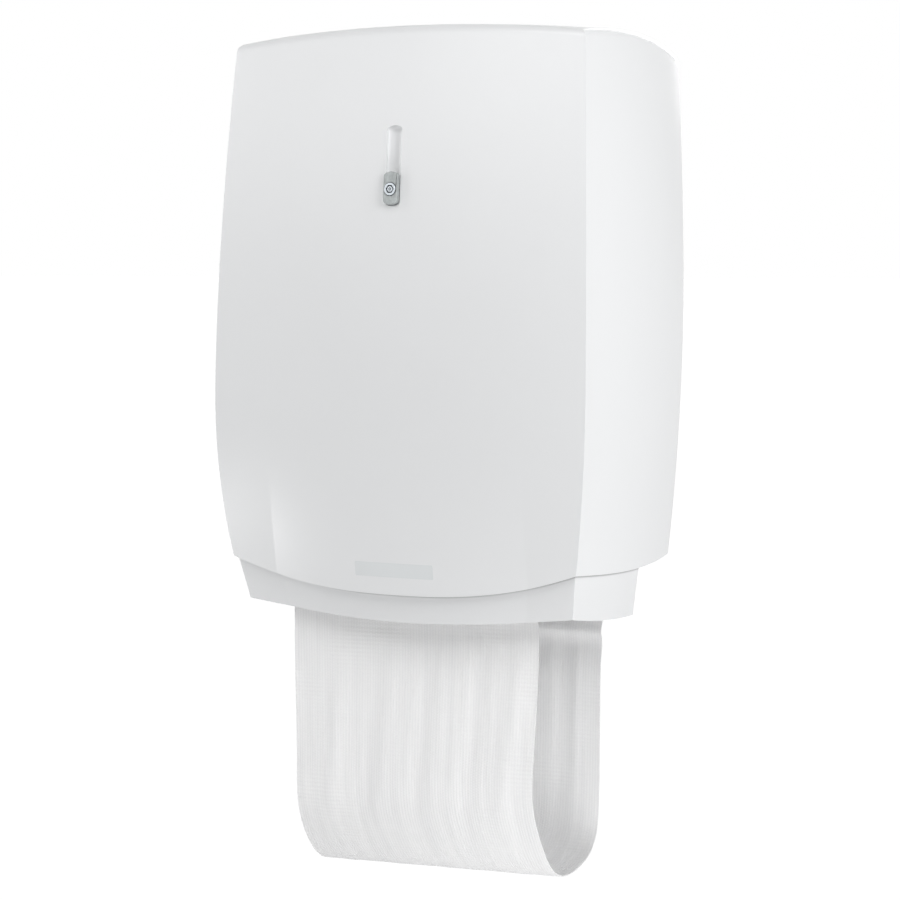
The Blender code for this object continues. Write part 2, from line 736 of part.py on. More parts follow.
def skirt_point(spot, z):
    """Outer skin of the skirt, which follows the cover's foot and tapers in downwards."""
    kind, sign, share = spot
    fall = COVER_FOOT_Z - z
    if kind == "side":
        x = side_x(share, COVER_FOOT_Z) - SKIRT_SIDE_INSET - SKIRT_SIDE_SLOPE * fall
        y = side_y(share, COVER_FOOT_Z) + (SKIRT_FRONT_INSET + SKIRT_FRONT_SLOPE * fall) * (1 - share)
        return (sign * x, y, z)
    x = column_x(share, COVER_HALF_FOOT)
    taper = (COVER_HALF_FOOT - SKIRT_SIDE_INSET - SKIRT_SIDE_SLOPE * fall) / COVER_HALF_FOOT
    return (x * taper, front_y(x, COVER_FOOT_Z) + SKIRT_FRONT_INSET + SKIRT_FRONT_SLOPE * fall, z)


def skirt_edges(spot):
    kind, _, share = spot
    corner = COVER_FOOT_Z - SKIRT_CORNER_DEPTH
    if kind == "side":
        rest = 1 - share / SKIRT_END_SHARE
        return corner - SKIRT_SIDE_DROP * (1 - rest ** 2), side_foot_z(share) + SKIRT_TUCK
    x_share = min(abs(column_x(share, COVER_HALF_FOOT)) / COVER_HALF_FOOT, 1.0)
    return corner - SKIRT_FRONT_DROP * (1 - x_share ** SKIRT_DROP_POWER), seam_z(x_share) + SKIRT_TUCK


def skirt_spots():
    shares = [SKIRT_END_SHARE * index / SKIRT_SIDE_STEPS for index in range(1, SKIRT_SIDE_STEPS + 1)]
    spots = [("side", -1, share) for share in reversed(shares)]
    spots += [("front", 0, column) for column in front_columns()]
    spots += [("side", 1, share) for share in shares]
    return spots


def skirt_floor_outline(side):
    """Flange between the side frame and the skirt's side wall."""
    inner = FRAME_OUT + GAP
    outer = []
    for index in range(SKIRT_SIDE_STEPS + 1):
        share = SKIRT_FLOOR_START_SHARE
        share += (SKIRT_FLOOR_END_SHARE - SKIRT_FLOOR_START_SHARE) * index / SKIRT_SIDE_STEPS
        x, y, _ = skirt_point(("side", 1, share), SKIRT_FLOOR_TOP - SKIRT_FLOOR_WALL)
        outer.append((side * (x - SKIRT_WALL / 2), y))
    return outer + [(side * inner, outer[-1][1]), (side * inner, outer[0][1])]


def make_skirt(finish):
    bm = bmesh.new()
    spots = skirt_spots()
    rows = []
    for index in range(SKIRT_RINGS + 1):
        row = []
        for spot in spots:
            foot, head = skirt_edges(spot)
            row.append(bm.verts.new(skirt_point(spot, foot + (head - foot) * index / SKIRT_RINGS)))
        rows.append(row)
    add_sheet(bm, rows)
    skirt = solid("skirt", bm, finish)
    thicken(skirt, SKIRT_WALL)
    inner = FRAME_OUT + GAP
    floor_foot = SKIRT_FLOOR_TOP - SKIRT_FLOOR_WALL
    for side, word in SIDES:
        floor = bmesh.new()
        add_prism(floor, skirt_floor_outline(side), "Z", floor_foot, SKIRT_FLOOR_TOP)
        join(skirt, solid("skirt_floor_" + word, floor, None))
        low, high = sorted((side * inner, side * (inner + SKIRT_FLOOR_WALL)))
        tab = bmesh.new()
        add_box(tab, (low, SKIRT_TAB_Y - SKIRT_TAB_HALF, floor_foot),
                (high, SKIRT_TAB_Y + SKIRT_TAB_HALF, SKIRT_FLOOR_TOP + SKIRT_TAB_HEIGHT))
        join(skirt, solid("skirt_tab_" + word, tab, None))
        cut(skirt, hole_tool("skirt_holes_" + word, skirt_screw_holes(), "X", low - GAP, high + GAP))
    return skirt


def skirt_screw_z():
    return SKIRT_FLOOR_TOP + SKIRT_TAB_HEIGHT / 2


def skirt_screw_holes():
    radius = SCREW_RADIUS + GAP
    return [(SKIRT_TAB_Y + sign * SKIRT_SCREW_SPREAD, skirt_screw_z(), radius) for sign in (-1, 1)]


# Frame and back plate


def frame_outline():
    """Side frame, seen along X."""
    rear = -PLATE_WALL - GAP
    head = CLEAN_Z + FULL_ROLL_RADIUS + FRAME_HEAD_MARGIN
    foot = HINGE_Z - FRAME_FOOT_MARGIN
    ear = GUIDE_Y + FRAME_EAR_REACH
    return [
        (rear, PLATE_FOOT), (rear, head - FRAME_CORNER), (rear - FRAME_CORNER, head),
        (TIE_FRONT, head), (TIE_FRONT, TIE_Z - TIE_TAB_HEIGHT),
        (-FRAME_FRONT, TIE_Z - 2 * TIE_TAB_HEIGHT),
        (-FRAME_FRONT, FEED_Z - FEED_RADIUS), (HINGE_Y - FRAME_EAR_REACH, foot),
        (ear, foot), (ear, PLATE_FOOT),
    ]


def tie_screw_holes():
    return [(TIE_SCREW_Y, TIE_Z - TIE_TAB_HEIGHT / 2, SCREW_RADIUS + GAP)]


def frame_holes(side):
    """(Y, Z, radius) of every bore through a side frame."""
    hub = HUB_STUB_RADIUS if side > 0 else HUB_SHOULDER_RADIUS - HUB_SHOULDER_WALL
    holes = [
        (CLEAN_Y, CLEAN_Z, hub + GAP),
        (FEED_Y, FEED_Z, BUSH_RADIUS + GAP),
        (TAKEUP_Y, TAKEUP_Z, BUSH_RADIUS + GAP),
        (HINGE_Y, HINGE_Z, HINGE_PIN_RADIUS + GAP),
        (BRACKET_PIVOT_Y, BRACKET_PIVOT_Z, BRACKET_PIN_RADIUS + GAP),
        (GUIDE_Y, GUIDE_Z, SCREW_RADIUS + GAP),
    ]
    if side > 0:
        holes.append((*idler_centre(), SHAFT_RADIUS + GAP))
    else:
        holes.append((PAWL_PIVOT_Y, PAWL_PIVOT_Z, PAWL_PIN_RADIUS + GAP))
    windows = [(CLEAN_Y, (CLEAN_Z + TAKEUP_Z) / 2, FRAME_WINDOW_RADIUS)]
    return holes + windows + tie_screw_holes() + skirt_screw_holes()


def make_side_frame(side, name, finish):
    low, high = sorted((side * FRAME_IN, side * FRAME_OUT))
    bm = bmesh.new()
    add_prism(bm, frame_outline(), "X", low, high)
    frame = solid(name, bm, finish)
    flange = bmesh.new()
    near, far = sorted((side * (FRAME_IN + GAP), side * (FRAME_OUT + FRAME_FLANGE_WIDTH)))
    add_box(flange, (near, -PLATE_WALL - GAP - FRAME_WALL, FRAME_FLANGE_FOOT),
            (far, -PLATE_WALL - GAP, FRAME_FLANGE_HEAD))
    join(frame, solid(name + "_flange", flange, None))
    lug = bmesh.new()
    near, far = sorted((side * (BRACKET_IN + GAP), side * (FRAME_IN + GAP)))
    lug_front = spring_rear_y() + GAP
    add_box(lug, (near, lug_front, BRACKET_TAIL_Z - PRESS_LUG_HALF),
            (far, lug_front + PRESS_LUG_DEPTH, BRACKET_TAIL_Z + PRESS_LUG_HALF))
    join(frame, solid(name + "_lug", lug, None))
    cut(frame, hole_tool(name + "_bores", frame_holes(side), "X", low - BORE_OVERRUN, high + BORE_OVERRUN))
    x = side * (FRAME_OUT + FRAME_FLANGE_WIDTH / 2)
    screws = [(x, z, SCREW_RADIUS + GAP) for z in (FRAME_SCREW_LOW, FRAME_SCREW_HIGH)]
    cut(frame, hole_tool(name + "_screw_bores", screws, "Y", -PLATE_RIM_DEPTH, OVERRUN))
    return frame


def make_back_plate(finish):
    bm = bmesh.new()
    add_box(bm, (-PLATE_HALF_WIDTH, -PLATE_RIM_DEPTH, PLATE_FOOT), (PLATE_HALF_WIDTH, 0, PLATE_HEAD))
    plate = solid("back_plate", bm, finish)
    pocket = bmesh.new()
    inner = PLATE_HALF_WIDTH - PLATE_RIM_WALL
    add_box(pocket, (-inner, -PLATE_RIM_DEPTH - OVERRUN, PLATE_FOOT + PLATE_RIM_WALL),
            (inner, -PLATE_WALL, PLATE_HEAD - PLATE_RIM_WALL))
    cut(plate, solid("plate_pocket", pocket, None))
    notch = bmesh.new()
    edge = FRAME_OUT + GAP
    add_box(notch, (-edge, -PLATE_RIM_DEPTH - OVERRUN, PLATE_FOOT - OVERRUN),
            (edge, -PLATE_WALL, PLATE_FOOT + PLATE_RIM_DEPTH))
    cut(plate, solid("plate_notch", notch, None))
    x = FRAME_OUT + FRAME_FLANGE_WIDTH / 2
    holes = []
    for side in (-1, 1):
        holes += [(side * PLATE_HOLE_X, sign * PLATE_HOLE_Z, PLATE_HOLE_RADIUS) for sign in (-1, 1)]
        holes += [(side * x, z, SCREW_RADIUS + GAP) for z in (FRAME_SCREW_LOW, FRAME_SCREW_HIGH)]
    cut(plate, hole_tool("plate_bores", holes, "Y", -PLATE_WALL - OVERRUN, OVERRUN))
    return plate


def screw_profile(head_start, direction, shank):
    """Pan head screw: the head starts at head_start and the shank goes on in direction."""
    under = head_start + direction * SCREW_HEAD_WALL
    return [(head_start, SCREW_HEAD_RADIUS), (under, SCREW_HEAD_RADIUS), (under, SCREW_RADIUS),
            (under + direction * shank, SCREW_RADIUS)]


def make_screw(name, profile, centre, axis, finish):
    bm = bmesh.new()
    add_turned(bm, profile, centre, SCREW_STEPS, axis)
    return solid(name, bm, finish)


def make_frame_screws(finish):
    shank = PLATE_WALL + FRAME_WALL
    head = -PLATE_WALL - FRAME_WALL - 2 * GAP - SCREW_HEAD_WALL
    profile = screw_profile(head, 1, shank)
    for side, word in SIDES:
        x = side * (FRAME_OUT + FRAME_FLANGE_WIDTH / 2)
        make_screw("frame_screw_low_" + word, profile, (x, 0, FRAME_SCREW_LOW), "Y", finish)
        make_screw("frame_screw_high_" + word, profile, (x, 0, FRAME_SCREW_HIGH), "Y", finish)


def make_tie_bar(finish):
    bm = bmesh.new()
    end = FRAME_IN - GAP
    add_box(bm, (-end, TIE_FRONT, TIE_Z), (end, TIE_BACK, TIE_Z + TIE_WALL))
    tie = solid("tie_bar", bm, finish)
    for side, word in SIDES:
        low, high = sorted((side * end, side * (end - TIE_WALL)))
        tab = bmesh.new()
        add_box(tab, (low, TIE_FRONT, TIE_Z - TIE_TAB_HEIGHT), (high, TIE_BACK, TIE_Z + TIE_WALL / 2))
        join(tie, solid("tie_tab_" + word, tab, None))
        cut(tie, hole_tool("tie_hole_" + word, tie_screw_holes(), "X", low - GAP, high + GAP))
    shelf = bmesh.new()
    add_box(shelf, (-STRIKE_HALF_WIDTH, STRIKE_FRONT, TIE_Z + GAP),
            (STRIKE_HALF_WIDTH, TIE_BACK - GAP, TIE_Z + TIE_WALL))
    join(tie, solid("strike_shelf", shelf, None))
    strike = bmesh.new()
    add_box(strike, (-STRIKE_HALF_WIDTH, STRIKE_FRONT, STRIKE_FOOT),
            (STRIKE_HALF_WIDTH, STRIKE_FRONT + STRIKE_WALL, TIE_Z + TIE_WALL))
    join(tie, solid("strike_plate", strike, None))
    return tie


def make_tie_screws(finish):
    centre = (0, TIE_SCREW_Y, TIE_Z - TIE_TAB_HEIGHT / 2)
    for side, word in SIDES:
        head = side * (FRAME_OUT + GAP + SCREW_HEAD_WALL)
        profile = screw_profile(head, -side, FRAME_WALL + TIE_WALL + SCREW_TIP)
        make_screw("tie_screw_" + word, profile, centre, "X", finish)


def make_skirt_screws(finish):
    for side, word in SIDES:
        head = side * (FRAME_IN - GAP - SCREW_HEAD_WALL)
        profile = screw_profile(head, side, FRAME_WALL + SKIRT_FLOOR_WALL + SCREW_TIP)
        for place, (y, z, _) in zip(("front", "rear"), skirt_screw_holes()):
            make_screw("skirt_screw_" + place + "_" + word, profile, (0, y, z), "X", finish)


# Cover hinge


def arm_seat():
    """Half width of the cover's inner skin at the arm's foot, less a clearance."""
    spots = []
    for y in (ARM_FOOT_Y - ARM_FOOT_HALF, ARM_FOOT_Y + ARM_FOOT_HALF):
        for z in (ARM_FOOT_Z - ARM_FOOT_HALF_HEIGHT, ARM_FOOT_Z + ARM_FOOT_HALF_HEIGHT):
            share = 1 + (y + COVER_REAR_GAP) / (reach(z) - COVER_REAR_GAP)
            spots.append(side_x(share, z))
    return min(spots) - COVER_WALL - ARM_SEAT_CLEARANCE


def make_hinge_arm(side, name, finish):
    pivot = (0, HINGE_Y, HINGE_Z)
    low, high = sorted((side * ARM_IN, side * (ARM_IN + ARM_WALL)))
    bm = bmesh.new()
    outline = link((HINGE_Y, HINGE_Z), HINGE_BOSS_RADIUS, (ARM_FOOT_Y, ARM_FOOT_Z), ARM_FOOT_HALF)
    add_prism(bm, outline, "X", low, high)
    arm = solid(name, bm, finish, pivot)
    foot = bmesh.new()
    near, far = sorted((side * (ARM_IN + GAP), side * arm_seat()))
    add_box(foot, (near, ARM_FOOT_Y - ARM_FOOT_HALF + GAP, ARM_FOOT_Z - ARM_FOOT_HALF_HEIGHT),
            (far, ARM_FOOT_Y + ARM_FOOT_HALF - GAP, ARM_FOOT_Z + ARM_FOOT_HALF_HEIGHT))
    join(arm, solid(name + "_foot", foot, None, pivot))
    bore = [(HINGE_Y, HINGE_Z, HINGE_PIN_RADIUS + GAP)]
    cut(arm, hole_tool(name + "_bore", bore, "X", low - BORE_OVERRUN, high + BORE_OVERRUN))
    return arm


def make_hinge_pins(finish):
    """Shoulder pins: a head inside the frame, a collar outside it and a head past the arm."""
    for side, word in SIDES:
        inner = FRAME_IN - GAP
        collar = FRAME_OUT + GAP
        arm = ARM_IN - GAP
        outer = ARM_IN + ARM_WALL + GAP
        profile = [
            (inner - PIN_HEAD_WALL, PIN_HEAD_RADIUS), (inner, PIN_HEAD_RADIUS), (inner, HINGE_PIN_RADIUS),
            (collar, HINGE_PIN_RADIUS), (collar, PIN_HEAD_RADIUS), (arm, PIN_HEAD_RADIUS),
            (arm, HINGE_PIN_RADIUS), (outer, HINGE_PIN_RADIUS), (outer, PIN_HEAD_RADIUS),
            (outer + PIN_HEAD_WALL, PIN_HEAD_RADIUS),
        ]
        bm = bmesh.new()
        shape = [(side * along, radius) for along, radius in profile]
        add_turned(bm, shape, (0, HINGE_Y, HINGE_Z), SMALL_STEPS)
        solid("hinge_pin_" + word, bm, finish)


# Lock


def make_slot_frame():
    return Matrix.Translation((0, SLOT_Y, SLOT_Z)) @ Matrix.Rotation(-SLOT_TILT, 4, "X")


def make_lock_slider(finish, slot_frame):
    """Slider body in the recess, its neck through the keyway, its inner plate and its hook."""
    inner = slider_plate_start()
    bm = bmesh.new()
    add_prism(bm, slot(SLIDER_HALF_WIDTH, SLIDER_FOOT, SLIDER_HEAD), "Y", -SLIDER_PROUD, SLIDER_SEAT)
    slider = solid("lock_slider", bm, finish, frame=slot_frame)
    pieces = (
        ("slider_core", CORE_HALF_WIDTH, SLIDER_FOOT + CORE_INSET, SLIDER_HEAD - CORE_INSET,
         SLIDER_SEAT - GAP, CORE_DEPTH),
        ("slider_neck", NECK_HALF_WIDTH, NECK_FOOT, NECK_HEAD, CORE_DEPTH - GAP, inner + GAP),
        ("slider_plate", INNER_HALF_WIDTH, INNER_FOOT, INNER_HEAD, inner, inner + INNER_WALL),
    )
    for name, half, low, high, start, stop in pieces:
        join(slider, slot_tool(name, half, low, high, start, stop, slot_frame))
    hook = bmesh.new()
    add_prism(hook, hook_outline(inner + INNER_WALL - GAP), "X", -HOOK_HALF_WIDTH, HOOK_HALF_WIDTH)
    join(slider, solid("slider_hook", hook, None, frame=slot_frame))
    bore_end = LOCK_DEPTH - LOCK_PROUD - SLIDER_PROUD + GAP
    bores = (
        ("slider_lock_bore", LOCK_RADIUS + GAP, -OVERRUN, bore_end),
        ("slider_stem_bore", LOCK_STEM_RADIUS + GAP, bore_end - GAP, inner + INNER_WALL + BORE_OVERRUN),
    )
    for name, radius, start, stop in bores:
        bore = bmesh.new()
        profile = [(start, radius), (stop, radius)]
        add_turned(bore, profile, (0, 0, LOCK_Z), ROUND_STEPS, "Y")
        cut(slider, solid(name, bore, None, frame=slot_frame))
    return slider


def slider_plate_start():
    return RECESS_DEPTH + RECESS_WALL + GAP


def hook_outline(start):
    """Hook seen from the side: an arm inwards and a prong upwards."""
    arm_head = HOOK_FOOT + HOOK_ARM_HEIGHT
    return [(start, HOOK_FOOT), (HOOK_REACH + HOOK_WALL, HOOK_FOOT), (HOOK_REACH + HOOK_WALL, HOOK_HEAD),
            (HOOK_REACH, HOOK_HEAD), (HOOK_REACH, arm_head), (start, arm_head)]


def make_lock_cylinder(finish, slot_frame):
    """Round plug with a six sided key recess and a stem through the slider."""
    face = -SLIDER_PROUD - LOCK_PROUD
    seat = face + LOCK_DEPTH
    frame = slot_frame @ Matrix.Translation((0, 0, LOCK_Z))
    bm = bmesh.new()
    tail = slider_plate_start() + INNER_WALL
    profile = [(face, LOCK_RADIUS), (seat, LOCK_RADIUS),
               (seat, LOCK_STEM_RADIUS), (tail, LOCK_STEM_RADIUS)]
    add_turned(bm, profile, (0, 0, 0), ROUND_STEPS, "Y")
    plug = solid("lock_cylinder", bm, finish, frame=frame)
    key = bmesh.new()
    key_floor = face + LOCK_KEY_DEPTH
    hexagon = circle((0, 0), LOCK_KEY_RADIUS, LOCK_KEY_SIDES)
    add_prism(key, hexagon, "Y", face - BORE_OVERRUN, key_floor)
    cut(plug, solid("lock_key_cut", key, None, frame=frame))
    pin = bmesh.new()
    pin_face = face + LOCK_KEY_DEPTH / 3
    add_prism(pin, circle((0, 0), LOCK_PIN_RADIUS, LOCK_PIN_SIDES), "Y", pin_face, key_floor + GAP)
    join(plug, solid("lock_key_pin", pin, None, frame=frame))
    return plug


# Rolls and hubs


def tube_profile(start, stop, outer, inner):
    return [(start, outer), (stop, outer), (stop, inner), (start, inner)]


def make_tube(name, centre, start, stop, outer, inner, finish, steps=ROUND_STEPS):
    bm = bmesh.new()
    add_turned(bm, tube_profile(start, stop, outer, inner), (0, *centre), steps, bored=True)
    return solid(name, bm, finish, (0, *centre))


def make_roll_hub_fixed(finish):
    """Spigot, flange, stub through the right frame and its nut."""
    spigot_end = TOWEL_WIDTH / 2 + CORE_OVERHANG
    stop = FRAME_IN - GAP
    nut = FRAME_OUT + GAP
    profile = [
        (spigot_end - HUB_SPIGOT_LENGTH, HUB_SPIGOT_RADIUS), (stop - HUB_FLANGE_WALL, HUB_SPIGOT_RADIUS),
        (stop - HUB_FLANGE_WALL, HUB_FLANGE_RADIUS), (stop, HUB_FLANGE_RADIUS), (stop, HUB_STUB_RADIUS),
        (nut, HUB_STUB_RADIUS), (nut, HUB_NUT_RADIUS), (nut + HUB_NUT_WALL, HUB_NUT_RADIUS),
    ]
    bm = bmesh.new()
    add_turned(bm, profile, (0, CLEAN_Y, CLEAN_Z))
    return solid("roll_hub_fixed", bm, finish, (0, CLEAN_Y, CLEAN_Z))


def hub_shoulder_start():
    return FRAME_OUT + 2 * GAP


def make_roll_hub_sprung(finish):
    """Plunger that slides out into its housing: spigot, and a shoulder behind the frame."""
    spigot_end = TOWEL_WIDTH / 2 + CORE_OVERHANG
    shoulder = hub_shoulder_start()
    profile = [
        (-spigot_end + HUB_SPIGOT_LENGTH, HUB_SPIGOT_RADIUS), (-shoulder, HUB_SPIGOT_RADIUS),
        (-shoulder, HUB_SHOULDER_RADIUS), (-shoulder - HUB_SHOULDER_WALL, HUB_SHOULDER_RADIUS),
    ]
    bm = bmesh.new()
    add_turned(bm, profile, (0, CLEAN_Y, CLEAN_Z))
    return solid("roll_hub_sprung", bm, finish, (0, CLEAN_Y, CLEAN_Z))


def make_hub_housing(finish):
    """Cup over the plunger, with a rim against the left frame and a vent in its end."""
    start = FRAME_OUT + GAP
    end = start + CUP_DEPTH
    bore = CUP_RADIUS - CUP_WALL
    vent = HUB_STUB_RADIUS
    profile = [
        (-start, CUP_FLANGE_RADIUS), (-start - CUP_WALL, CUP_FLANGE_RADIUS),
        (-start - CUP_WALL, CUP_RADIUS), (-end, CUP_RADIUS), (-end, vent),
        (-end + CUP_WALL, vent), (-end + CUP_WALL, bore), (-start, bore),
    ]
    bm = bmesh.new()
    add_turned(bm, profile, (0, CLEAN_Y, CLEAN_Z), bored=True)
    return solid("hub_housing", bm, finish, (0, CLEAN_Y, CLEAN_Z))


def make_hub_spring(finish):
    start = hub_shoulder_start() + HUB_SHOULDER_WALL + GAP
    end = FRAME_OUT + GAP + CUP_DEPTH - CUP_WALL - GAP
    return coil("hub_spring", (-start, CLEAN_Y, CLEAN_Z), (-1, 0, 0), end - start,
                HUB_SPRING_RADIUS, HUB_SPRING_WIRE, HUB_SPRING_TURNS, finish)


# Feed and take-up


def make_feed_shaft(finish):
    bm = bmesh.new()
    end = GEAR_STOP + AXLE_END
    add_turned(bm, [(-end, SHAFT_RADIUS), (end, SHAFT_RADIUS)], (0, FEED_Y, FEED_Z), SMALL_STEPS)
    return solid("feed_shaft", bm, finish, (0, FEED_Y, FEED_Z))


def make_shaft_bushes(finish):
    for place, centre in (("feed", (FEED_Y, FEED_Z)), ("takeup", (TAKEUP_Y, TAKEUP_Z))):
        for side, word in SIDES:
            seat = FRAME_OUT + GAP
            profile = [
                (FRAME_IN, BUSH_RADIUS), (seat, BUSH_RADIUS), (seat, BUSH_FLANGE_RADIUS),
                (seat + BUSH_FLANGE_WALL, BUSH_FLANGE_RADIUS), (seat + BUSH_FLANGE_WALL, SHAFT_RADIUS + GAP),
                (FRAME_IN, SHAFT_RADIUS + GAP),
            ]
            bm = bmesh.new()
            shape = [(side * along, radius) for along, radius in profile]
            add_turned(bm, shape, (0, *centre), SMALL_STEPS, bored=True)
            solid(place + "_bush_" + word, bm, finish)


def make_takeup_spindle(finish):
    barrel = FRAME_IN - 2 * BUSH_FLANGE_WALL
    end = GEAR_STOP + AXLE_END
    profile = [
        (-FRAME_OUT - 2 * BUSH_FLANGE_WALL, SHAFT_RADIUS), (-barrel, SHAFT_RADIUS),
        (-barrel, TAKEUP_BARREL_RADIUS), (barrel, TAKEUP_BARREL_RADIUS),
        (barrel, SHAFT_RADIUS), (end, SHAFT_RADIUS),
    ]
    bm = bmesh.new()
    add_turned(bm, profile, (0, TAKEUP_Y, TAKEUP_Z), SMALL_STEPS)
    return solid("takeup_spindle", bm, finish, (0, TAKEUP_Y, TAKEUP_Z))


def pitch_radius(teeth):
    return GEAR_MODULE * teeth / 2


def idler_centre():
    """Where the idler's circle meets both the feed gear's and the take-up gear's."""
    near = pitch_radius(FEED_TEETH) + pitch_radius(IDLER_TEETH)
    far = pitch_radius(TAKEUP_TEETH) + pitch_radius(IDLER_TEETH)
    run = Vector((TAKEUP_Y - FEED_Y, TAKEUP_Z - FEED_Z))
    span = run.length
    along = (near ** 2 - far ** 2 + span ** 2) / (2 * span)
    aside = math.sqrt(near ** 2 - along ** 2)
    forward = run.normalized()
    rearward = Vector((forward.y, -forward.x))
    place = Vector((FEED_Y, FEED_Z)) + forward * along + rearward * aside
    return place.x, place.y


def gear_outline(centre, teeth, phase):
    """Straight flanked teeth, one of them centred on the phase angle."""
    radius = pitch_radius(teeth)
    tip = radius + GEAR_ADDENDUM
    root = radius - GEAR_DEDENDUM
    tooth = ((root, -GEAR_ROOT_HALF), (tip, -GEAR_TIP_HALF),
             (tip, GEAR_TIP_HALF), (root, GEAR_ROOT_HALF))
    points = []
    for index in range(teeth):
        middle = phase + math.tau * index / teeth
        for distance, half in tooth:
            turn = middle + half / distance
            points.append((centre[0] + distance * math.cos(turn), centre[1] + distance * math.sin(turn)))
    return points


def next_phase(phase, teeth, next_teeth, heading):
    """Phase that puts the next gear's gap on this gear's tooth, across the line of centres."""
    pitch = math.tau / teeth
    offset = (phase - heading) % pitch
    shift = offset * pitch_radius(teeth) / pitch_radius(next_teeth)
    return heading + math.pi - shift + math.pi / next_teeth


def make_gear(name, centre, teeth, phase, finish):
    bm = bmesh.new()
    add_prism(bm, gear_outline(centre, teeth, phase), "X", GEAR_START, GEAR_STOP)
    gear = solid(name, bm, finish, (0, *centre))
    bore = [(*centre, SHAFT_RADIUS + GAP)]
    cut(gear, hole_tool(name + "_bore", bore, "X", GEAR_START - GEAR_GAP, GEAR_STOP + GEAR_GAP))
    return gear


def make_gear_train(finish):
    feed = (FEED_Y, FEED_Z)
    idler = idler_centre()
    takeup = (TAKEUP_Y, TAKEUP_Z)
    first = math.atan2(idler[1] - feed[1], idler[0] - feed[0])
    second = math.atan2(takeup[1] - idler[1], takeup[0] - idler[0])
    idler_phase = next_phase(first, FEED_TEETH, IDLER_TEETH, first)
    takeup_phase = next_phase(idler_phase, IDLER_TEETH, TAKEUP_TEETH, second)
    return [
        make_gear("feed_gear", feed, FEED_TEETH, first, finish),
        make_gear("idler_gear", idler, IDLER_TEETH, idler_phase, finish),
        make_gear("takeup_gear", takeup, TAKEUP_TEETH, takeup_phase, finish),
    ]


def headed_pin(inner, outer, radius, head):
    """Pin with a head at each end, for a sign of +1."""
    return [(inner - HEAD_WALL, head), (inner, head), (inner, radius), (outer, radius), (outer, head),
            (outer + HEAD_WALL, head)]


def make_idler_pin(finish):
    centre = idler_centre()
    bm = bmesh.new()
    profile = headed_pin(FRAME_IN - GAP, GEAR_STOP + GAP, SHAFT_RADIUS, SHAFT_RADIUS + HEAD_LIP)
    add_turned(bm, profile, (0, *centre), SMALL_STEPS)
    return solid("idler_pin", bm, finish, (0, *centre))


def ratchet_outline():
    """Saw teeth whose steep faces meet the pawl when the shaft turns back."""
    pitch = math.tau / RATCHET_TEETH
    points = []
    for index in range(RATCHET_TEETH):
        start = PAWL_REST_ANGLE + pitch * (index + PAWL_TIP_HALF / RATCHET_ROOT)
        for share, radius in ((0, RATCHET_ROOT), (RATCHET_FACE_SHARE, RATCHET_TIP)):
            turn = start + pitch * share
            points.append((FEED_Y + radius * math.cos(turn), FEED_Z + radius * math.sin(turn)))
    return points


def make_ratchet_wheel(finish):
    start = -FRAME_OUT - GAP - BUSH_FLANGE_WALL - GEAR_GAP
    bm = bmesh.new()
    add_prism(bm, ratchet_outline(), "X", start - GEAR_WIDTH, start)
    wheel = solid("ratchet_wheel", bm, finish, (0, FEED_Y, FEED_Z))
    bore = [(FEED_Y, FEED_Z, SHAFT_RADIUS + GAP)]
    cut(wheel, hole_tool("ratchet_bore", bore, "X", start - GEAR_WIDTH - GEAR_GAP, start + GEAR_GAP))
    return wheel


def pawl_tip():
    """Tip of the lifted pawl, which drops into a tooth gap as it turns back by its lift."""
    distance = RATCHET_ROOT + PAWL_CLEARANCE + PAWL_TIP_HALF
    back = PAWL_REST_ANGLE - 2 * PAWL_TIP_HALF / RATCHET_ROOT
    pivot = Vector((PAWL_PIVOT_Y, PAWL_PIVOT_Z))
    seated = Vector((FEED_Y + distance * math.cos(back), FEED_Z + distance * math.sin(back)))
    lifted = pivot + Matrix.Rotation(-PAWL_LIFT, 2) @ (seated - pivot)
    return tuple(lifted)


def make_pawl(finish):
    """Gravity pawl: a boss on its pin and an arm whose tip is just clear of the teeth."""
    pivot = (PAWL_PIVOT_Y, PAWL_PIVOT_Z)
    start = -FRAME_OUT - GAP - BUSH_FLANGE_WALL - GEAR_GAP
    bm = bmesh.new()
    outline = link(pivot, PAWL_BOSS_RADIUS, pawl_tip(), PAWL_TIP_HALF)
    add_prism(bm, outline, "X", start - GEAR_WIDTH, start)
    pawl = solid("pawl", bm, finish, (0, *pivot))
    bore = [(*pivot, PAWL_PIN_RADIUS + GAP)]
    cut(pawl, hole_tool("pawl_bore", bore, "X", start - GEAR_WIDTH - GEAR_GAP, start + GEAR_GAP))
    return pawl


def make_pawl_pin(finish):
    outer = FRAME_OUT + 2 * GAP + BUSH_FLANGE_WALL + GEAR_GAP + GEAR_WIDTH
    bm = bmesh.new()
    profile = headed_pin(FRAME_IN - GAP, outer, PAWL_PIN_RADIUS, PAWL_PIN_RADIUS + HEAD_LIP)
    shape = [(-along, radius) for along, radius in profile]
    add_turned(bm, shape, (0, PAWL_PIVOT_Y, PAWL_PIVOT_Z), SMALL_STEPS)
    return solid("pawl_pin", bm, finish, (0, PAWL_PIVOT_Y, PAWL_PIVOT_Z))


# Pressure roller and its bracket


def spring_rear_y():
    return BRACKET_TAIL_Y + BRACKET_HALF_WIDTH + GAP + PRESS_SPRING_LENGTH


def make_pressure_roller(finish):
    end = TOWEL_WIDTH / 2 - PRESS_END_SPACE
    return make_tube("pressure_roller", (PRESS_Y, FEED_Z), -end, end, PRESS_RADIUS,
                     PRESS_SHAFT_RADIUS + GAP, finish)


def make_pressure_shaft(finish):
    end = BRACKET_IN + BRACKET_WALL + AXLE_END / 2
    bm = bmesh.new()
    profile = [(-end, PRESS_SHAFT_RADIUS), (end, PRESS_SHAFT_RADIUS)]
    add_turned(bm, profile, (0, PRESS_Y, FEED_Z), SMALL_STEPS)
    return solid("pressure_shaft", bm, finish, (0, PRESS_Y, FEED_Z))


